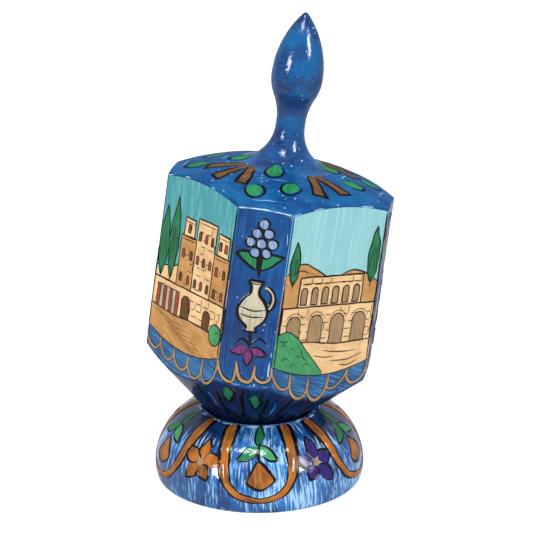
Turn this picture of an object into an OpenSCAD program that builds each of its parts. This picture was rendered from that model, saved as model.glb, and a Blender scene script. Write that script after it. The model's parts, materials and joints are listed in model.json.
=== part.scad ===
// Large painted wooden dreidel leaning in its round wooden display stand.
// The dreidel is one turned and faceted piece; the stand is a turned dome with a cup in its top.
// Origin: centre of the stand's flat underside. +Z up, the camera side is -Y.

/* [Body of the dreidel] */
// Distance between two opposite large faces
body_flats = 51.7; // [44:0.1:56]
// Width of a large face; the chamfer faces take what is left
face_w = 31.5; // [26:0.1:36]
// Height of the upright edges
body_h = 46.9; // [30:0.1:70]
// Diameter of the turned blank, which eases the upright edges
blank_d = 60.2; // [58:0.1:64]
// Radius of the domed top
dome_r = 70; // [50:1:120]

/* [Point of the dreidel] */
// Half angle of the turned cone under the body
cone_half = 48.3; // [42:0.1:54]
// Radius of the blunt point
tip_r = 2.2; // [1:0.1:4]

/* [Stem of the dreidel] */
// Diameter of the neck
neck_d = 7.8; // [6:0.1:11]
// Straight length of the neck
neck_len = 1.5; // [0.5:0.1:6]
// Radius of the cove from the top into the neck
flare_r = 10.5; // [6:0.1:14]
// Radius of the cove from the neck into the grip
cove_r = 14.3; // [8:0.1:22]
// Largest diameter of the grip
grip_d = 13.6; // [11.5:0.1:18]
// Radius of the round under the widest part of the grip
belly_r = 12; // [8:0.1:18]
// Height of the pointed part of the grip
ogive_h = 17; // [12:0.1:26]
// Radius of the blunt end of the stem
end_r = 0.9; // [0.5:0.1:1.5]

/* [Stand] */
// Largest diameter of the stand
stand_d = 56.4; // [50:0.1:64]
// Radius of the domed side
side_r = 17.5; // [15:0.1:19]
// Height of the widest part over the foot
waist_h = 3.5; // [2:0.1:8]
// Set-back of the foot from the widest part
foot_in = 0.5; // [0.2:0.1:1.2]
// Radius of the rounding at the foot
foot_r = 1; // [0.5:0.1:1.6]
// Diameter of the cup in the top
cup_d = 28.8; // [25:0.1:31]
// Radius of the rounded lip of the cup
lip_r = 1.2; // [0.6:0.1:1.8]

/* [Seat] */
// How far the dreidel leans in the cup
lean = 8.9; // [4:0.1:11]
// Direction of the lean, from +X towards +Y
lean_dir = 30; // [0:1:359]
// Turn of the faces about the dreidel's own axis
face_turn = -8.3; // [-45:0.1:45]
// Gap between the cone and the lip
seat_gap = 0.25; // [0.15:0.01:0.5]
// Gap between the point and the floor of the cup
floor_gap = 0.3; // [0.15:0.01:0.6]

/* [Hidden] */
$fn = 96;

// Faceted outline of the body
half_flat = body_flats / 2;
half_face = face_w / 2;
corner_r = norm([half_flat, half_face]);
turned_r = blank_d / 2;
// Turn that brings a chamfer face to the front
eighth = 45;

// Heights along the dreidel's own axis, from the sharp end of the cone
corner_low = corner_r / tan(cone_half);
corner_high = corner_low + body_h;
tip_mid = tip_r / sin(cone_half);
dome_mid = corner_high - sqrt(pow(dome_r, 2) - pow(corner_r, 2));
dome_top = dome_mid + dome_r;

// Stem: neck, grip and the tangent points between its rounds
neck_r = neck_d / 2;
grip_r = grip_d / 2;
flare_x = neck_r + flare_r;
flare_foot = flare_x * dome_r / (dome_r + flare_r);
neck_low = dome_mid + sqrt(pow(dome_r + flare_r, 2) - pow(flare_x, 2));
neck_high = neck_low + neck_len;
cove_x = neck_r + cove_r;
belly_x = grip_r - belly_r;
grip_mid = neck_high + sqrt(pow(belly_r + cove_r, 2) - pow(cove_x - belly_x, 2));
belly_share = belly_r / (belly_r + cove_r);
join_x = belly_x + (cove_x - belly_x) * belly_share;
join_z = grip_mid - (grip_mid - neck_high) * belly_share;
// One arc runs from the widest part of the grip to the blunt end, tangent to both
end_mid = grip_mid + ogive_h - end_r;
ogive_rise = end_mid - grip_mid;
ogive_r = (pow(ogive_rise, 2) + pow(grip_r, 2) - pow(end_r, 2)) / (2 * (grip_r - end_r));
ogive_x = grip_r - ogive_r;
end_turn = atan2(ogive_rise, -ogive_x);
dreidel_len = end_mid + end_r;

// Stand: centre of the side's arc, and the lip that blends it into the cup
stand_r = stand_d / 2;
cup_r = cup_d / 2;
side_x = stand_r - side_r;
lip_x = cup_r + lip_r;
lip_z = waist_h + sqrt(pow(side_r - lip_r, 2) - pow(lip_x - side_x, 2));
lip_turn = atan2(lip_z - waist_h, lip_x - side_x);
stand_h = waist_h + side_r;
foot_x = stand_r - foot_in - foot_r;

// Seat: the leaning cone meets the lip on both sides of the cup, in the plane of the lean.
// tip_x and tip_z place the sharp end of the cone in that plane, across and up.
steep = cone_half - lean;
flat = cone_half + lean;
off_lip = lip_r + seat_gap;
near_side = cos(flat) * lip_x - sin(flat) * lip_z - off_lip;
far_side = cos(steep) * lip_x - sin(steep) * lip_z - off_lip;
turn_sum = sin(flat + steep);
tip_x = (sin(steep) * near_side - sin(flat) * far_side) / turn_sum;
tip_z = -(cos(steep) * near_side + cos(flat) * far_side) / turn_sum;
floor_z = tip_z + tip_mid * cos(lean) - tip_r - floor_gap;

// Puts a shape that stands on the sharp end of its cone into its leaning seat
module seat() {
    rotate([0, 0, lean_dir])
        translate([tip_x, 0, tip_z])
            rotate([0, lean, 0])
                rotate([0, 0, face_turn - lean_dir])
                    children();
}

// Half outline of the cone and the domed body, before the faces are cut
module body_profile() {
    intersection() {
        union() {
            translate([0, tip_mid]) circle(r = tip_r);
            polygon([
                [0, tip_mid],
                [tip_r * cos(cone_half), tip_mid - tip_r * sin(cone_half)],
                [turned_r, turned_r / tan(cone_half)],
                [turned_r, dome_top],
                [0, dome_top]
            ]);
        }
        translate([0, dome_mid]) circle(r = dome_r);
        square([turned_r, dome_top]);
    }
}

// Half outline of the stem: flare, neck, cove, belly and pointed grip
module stem_profile() {
    // Flare and neck
    difference() {
        translate([0, corner_high]) square([flare_foot, neck_low - corner_high]);
        translate([flare_x, neck_low]) circle(r = flare_r);
    }
    translate([0, neck_low]) square([neck_r, neck_len]);
    // Cove under the grip
    difference() {
        translate([0, neck_high]) square([join_x, join_z - neck_high]);
        translate([cove_x, neck_high]) circle(r = cove_r);
    }
    // Belly of the grip
    intersection() {
        translate([belly_x, grip_mid]) circle(r = belly_r);
        translate([0, join_z]) square([grip_r, grip_mid - join_z]);
    }
    // Pointed upper part and its blunt end
    intersection() {
        translate([ogive_x, grip_mid]) circle(r = ogive_r);
        polygon([
            [0, grip_mid],
            [grip_r, grip_mid],
            [grip_r, end_mid],
            [grip_r, end_mid + grip_r * tan(end_turn)],
            [0, end_mid]
        ]);
    }
    intersection() {
        translate([0, end_mid]) circle(r = end_r);
        square([end_r, dreidel_len]);
    }
}

// Plan of the body: a square with its corners cut to narrow faces
module body_plan() {
    polygon([for (quarter = [0:90:270], side = [-1, 1])
        let (x = half_flat, y = side * half_face)
        [x * cos(quarter) - y * sin(quarter), x * sin(quarter) + y * cos(quarter)]]);
}

// The dreidel, turned and then cut to its eight faces
module dreidel() {
    color("royalblue") seat() {
        intersection() {
            rotate_extrude() body_profile();
            rotate([0, 0, eighth]) linear_extrude(height = dome_top) body_plan();
        }
        rotate_extrude() stem_profile();
    }
}

// Half outline of the stand
module stand_profile() {
    difference() {
        union() {
            intersection() {
                translate([side_x, waist_h]) circle(r = side_r);
                polygon([
                    [lip_x, waist_h],
                    [stand_r, waist_h],
                    [stand_r, stand_h],
                    [lip_x + (stand_h - lip_z) / tan(lip_turn), stand_h],
                    [lip_x, lip_z]
                ]);
            }
            translate([lip_x, lip_z]) circle(r = lip_r);
            square([lip_x, lip_z]);
            translate([foot_x, foot_r]) circle(r = foot_r);
            polygon([
                [0, 0],
                [foot_x, 0],
                [foot_x, foot_r],
                [foot_x + foot_r, foot_r],
                [stand_r, waist_h],
                [0, waist_h]
            ]);
        }
        translate([0, floor_z]) square([cup_r, stand_h]);
    }
}

// The turned stand
module stand() {
    color("steelblue") rotate_extrude() stand_profile();
}

stand();
dreidel();
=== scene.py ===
"""Large painted wooden dreidel leaning in its round display stand.

The wood is lofted from the sizes of the turned pieces, with eased edges.
Every colour on it is a thin raised coat that follows the surface below, laid on in the order of a
hand painter: ground colours, shapes, then ink lines. Lengths are in millimetres until a mesh is built.
"""

import json
import logging
import math
import random
from collections.abc import Callable, Sequence
from dataclasses import dataclass, field
from enum import Enum

import bpy
import numpy as np
from mathutils import Matrix, Vector
from mathutils.geometry import delaunay_2d_cdt
from mathutils.noise import noise


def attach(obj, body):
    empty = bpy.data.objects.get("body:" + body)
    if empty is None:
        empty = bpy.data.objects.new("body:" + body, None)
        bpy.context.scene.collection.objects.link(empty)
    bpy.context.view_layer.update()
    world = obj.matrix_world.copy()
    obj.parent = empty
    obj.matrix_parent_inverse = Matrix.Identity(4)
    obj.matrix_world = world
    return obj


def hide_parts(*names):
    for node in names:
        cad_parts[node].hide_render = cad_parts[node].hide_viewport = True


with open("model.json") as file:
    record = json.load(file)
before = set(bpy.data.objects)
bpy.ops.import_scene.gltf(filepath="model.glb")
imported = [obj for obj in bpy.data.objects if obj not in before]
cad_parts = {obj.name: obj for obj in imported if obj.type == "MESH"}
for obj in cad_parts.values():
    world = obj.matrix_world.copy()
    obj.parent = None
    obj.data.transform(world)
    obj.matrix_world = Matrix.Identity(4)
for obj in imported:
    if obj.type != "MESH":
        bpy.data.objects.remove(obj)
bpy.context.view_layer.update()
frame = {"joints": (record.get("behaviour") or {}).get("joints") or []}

LOG = logging.getLogger("dreidel")

# Kinds of values
Pair = tuple[float, float]
Triple = tuple[float, float, float]
Path = Sequence[Pair]
Socket = bpy.types.NodeSocket
# A point of a surface with its outward direction, and the same with the brush's direction
Spot = tuple[Triple, Triple]
Place = tuple[Triple, Triple, Triple]
# Radius, height and the outward direction's two parts on turned wood
Turned = tuple[float, float, float, float]
# Lower left corner, width and height of an upright shape in a picture
Plot = tuple[float, float, float, float]

# Measures
METRE = 0.001
EIGHTH, QUARTER, TURN = math.pi / 4, math.pi / 2, 2 * math.pi
TINY = 1e-6
PROBE = 0.05
NIB_TURN = math.radians(35)

# Heights over the wood: where shapes start, one coat, ink over its coat, and the feet of borders
GROUND = 0.03
COAT = 0.022
INK_RISE = COAT / 5
AREA_FOOT, STROKE_FOOT = -0.03, -0.02

# Noises of the paint, each with its finer octaves and their strength
HAIRS, DRAG, CLOUDS, GLINT_NOISE, SWELL = (4.0, 0.62), (3.0, 0.5), (2.0, 0.5), (1.0, 0.5), (3.0, 0.68)
DRAG_WIDE, DRAG_LONG, DRAG_START = 0.4, 0.45, 0.98
CLOUD_START, CLOUD_FULL = 0.60, 0.36
SWELL_SCALE, BEND_SCALE = 420.0, 48.0
# Pale specks in the paint: painted glints on the lacquer
DOT_SCALE, GLINT_SCALE, GLINT_START, GLINT_FULL, DOT_SIZE = 640.0, 240.0, 0.41, 0.72, 0.17
GLINT_COLOUR = "cfe4f4"
LACQUER_IOR = 1.5

# Numbers of the colour sockets of a mix node
MIX_FIRST, MIX_SECOND, MIX_OUT = 6, 7, 2


def linear(code: str) -> tuple[float, float, float, float]:
    """Turn a screen colour into the linear one that shaders take.

    Args:
        code: Six hexadecimal digits.

    Returns:
        Red, green, blue and full alpha.
    """
    parts = [int(code[i:i + 2], 16) / 255 for i in (0, 2, 4)]
    low, shift, power, slope = 0.04045, 0.055, 2.4, 12.92
    red, green, blue = (p / slope if p <= low else ((p + shift) / (1 + shift)) ** power for p in parts)
    return red, green, blue, 1.0


def around(radius: float, turn: float, height: float, out: float, rise: float) -> Spot:
    """Give a point of turned wood with its outward direction, from the outline's values at that turn."""
    i, j = math.cos(turn), math.sin(turn)
    return (radius * i, radius * j, height), (out * i, out * j, rise)


def arc(x: float, z: float, radius: float, start: float, stop: float, steps: int,
        out: int = 1) -> list[Turned]:
    """Follow one round of a turned outline past its start, with out at minus one where it is hollow."""
    turns = [start + (stop - start) * i / steps for i in range(1, steps + 1)]
    return [(x + radius * math.cos(t), z + radius * math.sin(t), out * math.cos(t), out * math.sin(t))
            for t in turns]


def ring_grain(x: float, y: float, along: float) -> Triple:
    """Give the brush's direction on turned wood: strokes run along the outline, from foot to top."""
    reach, core = 30.0, 13.0
    return x * reach / max(math.hypot(x, y), core), y * reach / max(math.hypot(x, y), core), along


class Nodes:
    """The nodes of one material or of the room, with short ways to add and join them."""

    def __init__(self, owner: bpy.types.Material | bpy.types.World) -> None:
        """Turn the owner's nodes on and take them."""
        owner.use_nodes = True
        self.tree = owner.node_tree

    def add(self, kind: str, inputs: dict | None = None, **choices: str) -> bpy.types.Node:
        """Add one node.

        Args:
            kind: Its type, without the words that all types start with.
            inputs: A value or a socket for each of its inputs, by name or number.
            choices: Its own settings.

        Returns:
            The new node.
        """
        node = self.tree.nodes.new(f"ShaderNode{kind}")
        for name, choice in choices.items():
            setattr(node, name, choice)
        self.fill(node, inputs or {})
        return node

    def fill(self, node: bpy.types.Node, inputs: dict) -> None:
        """Set or join the inputs of a node.

        Args:
            node: The node.
            inputs: A value or a socket for each input, by name or number.
        """
        for key, given in inputs.items():
            if isinstance(given, Socket):
                self.tree.links.new(given, node.inputs[key])
            else:
                node.inputs[key].default_value = given

    def shader(self) -> bpy.types.Node:
        """Give the surface shader that a new material has."""
        return next(n for n in self.tree.nodes if n.type == "BSDF_PRINCIPLED")

    def sum(self, operation: str, *terms: Socket | float) -> Socket:
        """Give the result of one sum with sockets and plain numbers."""
        return self.add("Math", dict(enumerate(terms)), operation=operation).outputs["Value"]

    def noise(self, place: Socket, scale: Triple, detail: float, rough: float) -> Socket:
        """Give noise at a place, with marks per unit three ways, finer octaves and their strength."""
        spread = self.add("Mapping", {"Vector": place, "Scale": scale}).outputs["Vector"]
        return self.add("TexNoise", {"Vector": spread, "Scale": 1.0, "Detail": detail,
                                     "Roughness": rough}).outputs["Fac"]

    def window(self, value: Socket, low: float, high: float, most: float) -> Socket:
        """Spread a range of noise from nothing at low to most at high."""
        return self.add("MapRange", {"Value": value, "From Min": low, "From Max": high,
                                     "To Max": most}).outputs["Result"]

    def mix(self, share: Socket, first: Socket | tuple, second: Socket | tuple) -> Socket:
        """Mix two colours by the share of the second."""
        return self.add("Mix", {"Factor": share, MIX_FIRST: first, MIX_SECOND: second},
                        data_type="RGBA").outputs[MIX_OUT]

    def bump(self, height: Socket, rise: float, under: dict | None = None) -> Socket:
        """Add relief of a height in millimetres, over the relief that is given as Normal."""
        return self.add("Bump", {"Distance": rise * METRE, "Height": height,
                                 **(under or {})}).outputs["Normal"]

    def seen(self) -> Socket:
        """Give the share of white outside the object: one for the camera, reflections and clear glass."""
        rays = self.add("LightPath").outputs
        return self.sum("MAXIMUM", self.sum("MAXIMUM", rays["Is Camera Ray"], rays["Is Glossy Ray"]),
                        rays["Is Transmission Ray"])


@dataclass(frozen=True)
class Finish:
    """One colour of brushed paint under clear lacquer.

    The mesh attribute named grain gives the brush's direction: its third number runs along the stroke.
    Hair, cloud, relief and wave are in millimetres, and run is a hair's length in its widths.
    """

    base: str
    light: str
    dark: str
    slot: str
    hair: float = 0.35
    run: float = 14.0
    start: float = 0.50
    bite: float = 0.22
    mark: float = 0.7
    cloud: float = 7.0
    drift: float = 0.3
    sway: float = 0.0
    curl: float = 0.0
    speck: float = 0.0
    relief: float = 0.012
    wave: float = 0.05
    rough: float = 0.45
    gloss: float = 0.05
    lacquer: float = 0.3

    def material(self, name: str) -> bpy.types.Material:
        """Build the shader of this coat.

        Args:
            name: The material's name.

        Returns:
            The new material.
        """
        made = bpy.data.materials.new(name)
        nodes = Nodes(made)
        place = nodes.add("TexCoord").outputs["Object"]
        course = self.bent(nodes, nodes.add("Attribute", attribute_name="grain").outputs["Vector"], place)
        fine, along = 1 / self.hair, 1 / (self.hair * self.run)
        hairs = nodes.noise(course, (fine, fine, along), *HAIRS)
        drag = nodes.noise(course, (DRAG_WIDE * fine, DRAG_WIDE * fine, DRAG_LONG * along), *DRAG)
        cloud = nodes.noise(place, (1 / (self.cloud * METRE),) * 3, *CLOUDS)
        low, high = self.start + 0.5 * self.sway, DRAG_START - self.start
        swayed = nodes.sum("MULTIPLY_ADD", cloud, self.sway, hairs)
        pale = nodes.window(swayed, low, low + self.bite, self.mark)
        deep = nodes.window(drag, high, high - self.bite, self.mark)
        soft = nodes.window(cloud, CLOUD_START, CLOUD_FULL, self.drift)
        colour = nodes.mix(soft, linear(self.base), linear(self.dark))
        colour = nodes.mix(deep, colour, linear(self.dark))
        colour = nodes.mix(pale, colour, linear(self.light))
        # Pale specks: painted glints
        colour = nodes.mix(self.glints(nodes, place), colour, linear(GLINT_COLOUR))
        swell = nodes.bump(nodes.noise(place, (SWELL_SCALE,) * 3, *SWELL), self.wave)
        relief = nodes.bump(hairs, self.relief, {"Normal": swell})
        nodes.fill(nodes.shader(), {
            "Base Color": colour, "Normal": relief, "Coat Normal": relief, "Roughness": self.rough,
            "Specular IOR Level": 0.0, "Coat Weight": self.lacquer, "Coat Roughness": self.gloss,
            "Coat IOR": LACQUER_IOR})
        return made

    def bent(self, nodes: Nodes, course: Socket, place: Socket) -> Socket:
        """Bend the brush's course as a loose hand does.

        Args:
            nodes: The material's nodes.
            course: The brush's straight course.
            place: Where the bends are read, in metres.

        Returns:
            The bent course, or the straight one where the hand is firm.
        """
        if not self.curl:
            return course
        swing = nodes.add("TexNoise", {"Vector": place, "Scale": BEND_SCALE, "Detail": 1.0}).outputs["Color"]
        return nodes.add("VectorMath", {0: swing, 1: (self.curl,) * 3, 2: course},
                         operation="MULTIPLY_ADD").outputs["Vector"]

    def glints(self, nodes: Nodes, place: Socket) -> Socket:
        """Add sparse pale dots: painted glints on the lacquer.

        Args:
            nodes: The material's nodes.
            place: Where the dots are read, in metres.

        Returns:
            The share of painted glint.
        """
        dots = nodes.add("TexVoronoi", {"Vector": place, "Scale": DOT_SCALE}).outputs["Distance"]
        size = nodes.window(nodes.noise(place, (GLINT_SCALE,) * 3, *GLINT_NOISE), GLINT_START, GLINT_FULL, DOT_SIZE)
        return nodes.sum("MULTIPLY", nodes.sum("LESS_THAN", dots, size), self.speck)


# Settings that several finishes share
SATIN = {"gloss": 0.2, "lacquer": 0.12}
TURNED_COAT = {"slot": "dreidel_paint", "hair": 5.0, "run": 0.14, "mark": 0.3, "speck": 0.9, "curl": 8.0}
STEM_COAT = {**TURNED_COAT, "wave": 0.17, "gloss": 0.04, "lacquer": 0.36}
STAND_COAT = {"slot": "stand_paint", "hair": 0.58, "run": 9, "curl": 6.0, "relief": 0.015, "wave": 0.11,
              "gloss": 0.04, "lacquer": 0.64}
INK_COLOURS = ("07080d", "12141e", "030305", "ink_line")


class Paint(Enum):
    """The colours on the painter's table."""

    STEM_BLUE = Finish("0b5690", "3280be", "152a5c", **STEM_COAT, cloud=8.0, drift=0.9)
    # Darker blue of the wash on the grip: painted shade
    STEM_NAVY = Finish("22497e", "3166a0", "1a2b5a", **STEM_COAT, drift=0.7)
    DOME_BLUE = Finish("12598f", "3a86c4", "10346c", **TURNED_COAT, **SATIN, cloud=8.0, drift=0.75, wave=0.1)
    SIDE_BLUE = Finish("0e4a88", "2670b4", "0a2a5e", "dreidel_paint", hair=0.7, mark=0.45, cloud=10.0,
                       drift=0.7, speck=0.7, wave=0.1)
    # Darker blue of the strokes low on the chamfers: painted shade
    SIDE_NAVY = Finish("1a3f78", "28619f", "122650", "dreidel_paint", hair=0.7, mark=0.45, drift=0.6,
                       wave=0.1)
    POINT_NAVY = Finish("102c60", "24508c", "060f2a", "dreidel_paint", hair=0.6, mark=0.6, drift=0.7,
                        gloss=0.12)
    BAND_BLUE = Finish("286499", "70a6cc", "183f74", "dreidel_paint", hair=0.5, mark=0.75, drift=0.6)
    # The stand's pale streaks are brush marks and partly painted reflection of the lamps in the brushed
    # lacquer
    STAND_BLUE = Finish("2270bc", "a8d4f3", "0b2a64", **STAND_COAT, start=0.525, bite=0.11, mark=0.9,
                        cloud=10.0, drift=0.85, sway=0.46)
    STAND_NAVY = Finish("143a74", "4f8ac4", "081a40", **STAND_COAT, start=0.63, bite=0.14, drift=0.9,
                        sway=0.3)
    # Pale blue on the cup's lip: wear and painted highlight
    STAND_WORN = Finish("b4d4ec", "dcecf8", "6fa4d2", "stand_paint", mark=0.8, gloss=0.04, lacquer=0.5)
    # Dark navy of the stand's cup, also laid on the cone near its point as painted shade
    CUP_NAVY = Finish("081634", "122c58", "03050f", "stand_paint", mark=0.5, gloss=0.12)
    # Pale blue of worn edges with painted highlight, and of painted glints on the dome
    WORN_BLUE = Finish("a8cdea", "d8ecf8", "5f9cd2", "dreidel_paint", mark=0.8, **SATIN)
    # Pale blue of the lower edges: wear and painted highlight
    EDGE_BLUE = Finish("5688ba", "82b0d8", "3a70a8", "dreidel_paint", mark=0.8)
    SKY_PALE = Finish("92c9cd", "b4e0e3", "7abfc5", "sky_paint", hair=0.75, run=20, curl=2.0)
    SKY_DEEP = Finish("4b9aa2", "86cccd", "43959d", "sky_paint", hair=0.75, run=16, curl=2.0)
    SAND_PALE = Finish("f0c995", "f8dcb0", "cf9c62", "sand_paint", mark=0.6, cloud=5.0, drift=0.55)
    SAND_DEEP = Finish("c69255", "e2b67c", "a87238", "sand_paint", cloud=5.0, drift=0.55)
    LEAF = Finish("20784a", "3f9a62", "145436", "leaf_paint", wave=0.12)
    DOME_LEAF = Finish("22804f", "44a068", "155c3a", "leaf_paint", **SATIN)
    LEAF_PALE = Finish("3f955c", "6cb880", "257a4a", "leaf_paint", wave=0.12)
    GOLD = Finish("a58662", "c4a67e", "78603f", "gold_paint")
    BROWN = Finish("674629", "8e6840", "402a1a", "gold_paint", mark=0.8, **SATIN)
    OCHRE = Finish("ae6522", "cd9050", "63371a", "ochre_paint", hair=0.4, mark=0.75, cloud=5.0, drift=0.8,
                   relief=0.02)
    VIOLET = Finish("2e2068", "4a3c8c", "1c1448", "violet_paint", relief=0.02, wave=0.15)
    MAGENTA = Finish("6c2c68", "884a84", "4a1a46", "violet_paint")
    LILAC = Finish("7c92b8", "b4c4da", "48669e", "cream_paint", hair=0.5, mark=0.95, drift=0.6)
    CREAM = Finish("beb49c", "dcd4c0", "8f8874", "cream_paint", mark=0.8)
    BRICK = Finish("9c4228", "bc6444", "742c1c", "brick_paint")
    INK = Finish(*INK_COLOURS, mark=0.5)
    DOME_INK = Finish(*INK_COLOURS, mark=0.5, **SATIN)
    BARE_WOOD = Finish("c9a274", "dcbb90", "a67e50", "stand_paint", hair=0.6, run=26, mark=0.8, lacquer=0.2)

    def material(self) -> bpy.types.Material:
        """Give the material of this colour, made on first use."""
        title = self.name.lower()
        return bpy.data.materials.get(title) or self.value.material(title)


class Draft:
    """A mesh in the making: places with normals and brush directions, and faces with their paint."""

    def __init__(self, *paints: Paint) -> None:
        """Start empty.

        Args:
            paints: The paints that the faces will wear.
        """
        self.paints = paints
        self.points: list[Triple] = []
        self.normals: list[Triple] = []
        self.grains: list[Triple] = []
        self.faces: list[tuple[int, ...]] = []
        self.coats: list[int] = []

    def vertex(self, place: Place) -> int:
        """Add one place.

        Args:
            place: Its point, normal and brush direction.

        Returns:
            Its number.
        """
        for row, part in zip((self.points, self.normals, self.grains), place):
            row.append(part)
        return len(self.points) - 1

    def face(self, corners: Sequence[int], coat: int = 0) -> None:
        """Add one face in the paint of that number."""
        self.faces.append(tuple(corners))
        self.coats.append(coat)

    def loft(self, rings: Sequence[tuple[list[int], int]], foot: float, head: float) -> None:
        """Join rings of equal count from below and close both ends at the axis.

        Args:
            rings: The numbers of each ring, and the paint of the faces up to it.
            foot: The height of the lower pole.
            head: The height of the upper pole.
        """
        for (lower, _), (upper, coat) in zip(rings, rings[1:]):
            for i, a in enumerate(lower):
                j = (i + 1) % len(lower)
                self.face((a, lower[j], upper[j], upper[i]), coat)
        for (rim, coat), height, rise in ((rings[0], foot, -1.0), (rings[-1], head, 1.0)):
            pole = self.vertex(((0.0, 0.0, height), (0.0, 0.0, rise), (0.0, 0.0, 0.0)))
            for i, a in enumerate(rim):
                b = rim[(i + 1) % len(rim)]
                self.face((a, b, pole) if rise > 0 else (b, a, pole), coat)

    def build(self, name: str, body: str, to_frame: Matrix) -> bpy.types.Object:
        """Make the object and let it ride on its body.

        Args:
            name: The piece's name.
            body: The body that it moves with.
            to_frame: From the piece's own millimetres to the frame's metres.

        Returns:
            The new object.
        """
        mesh = bpy.data.meshes.new(name)
        mesh.from_pydata([to_frame @ Vector(p) for p in self.points], [], self.faces)
        for paint in self.paints:
            mesh.materials.append(paint.material())
        mesh.polygons.foreach_set("material_index", self.coats)
        layer = mesh.attributes.new("grain", "FLOAT_VECTOR", "POINT")
        layer.data.foreach_set("vector", np.array(self.grains, np.float32).ravel())
        mesh.shade_smooth()
        spin = to_frame.to_quaternion()
        mesh.normals_split_custom_set_from_vertices([spin @ Vector(n).normalized() for n in self.normals])
        made = bpy.data.objects.new(name, mesh)
        bpy.context.scene.collection.objects.link(made)
        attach(made, body)
        LOG.info("%s: %d faces", name, len(self.faces))
        return made


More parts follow.
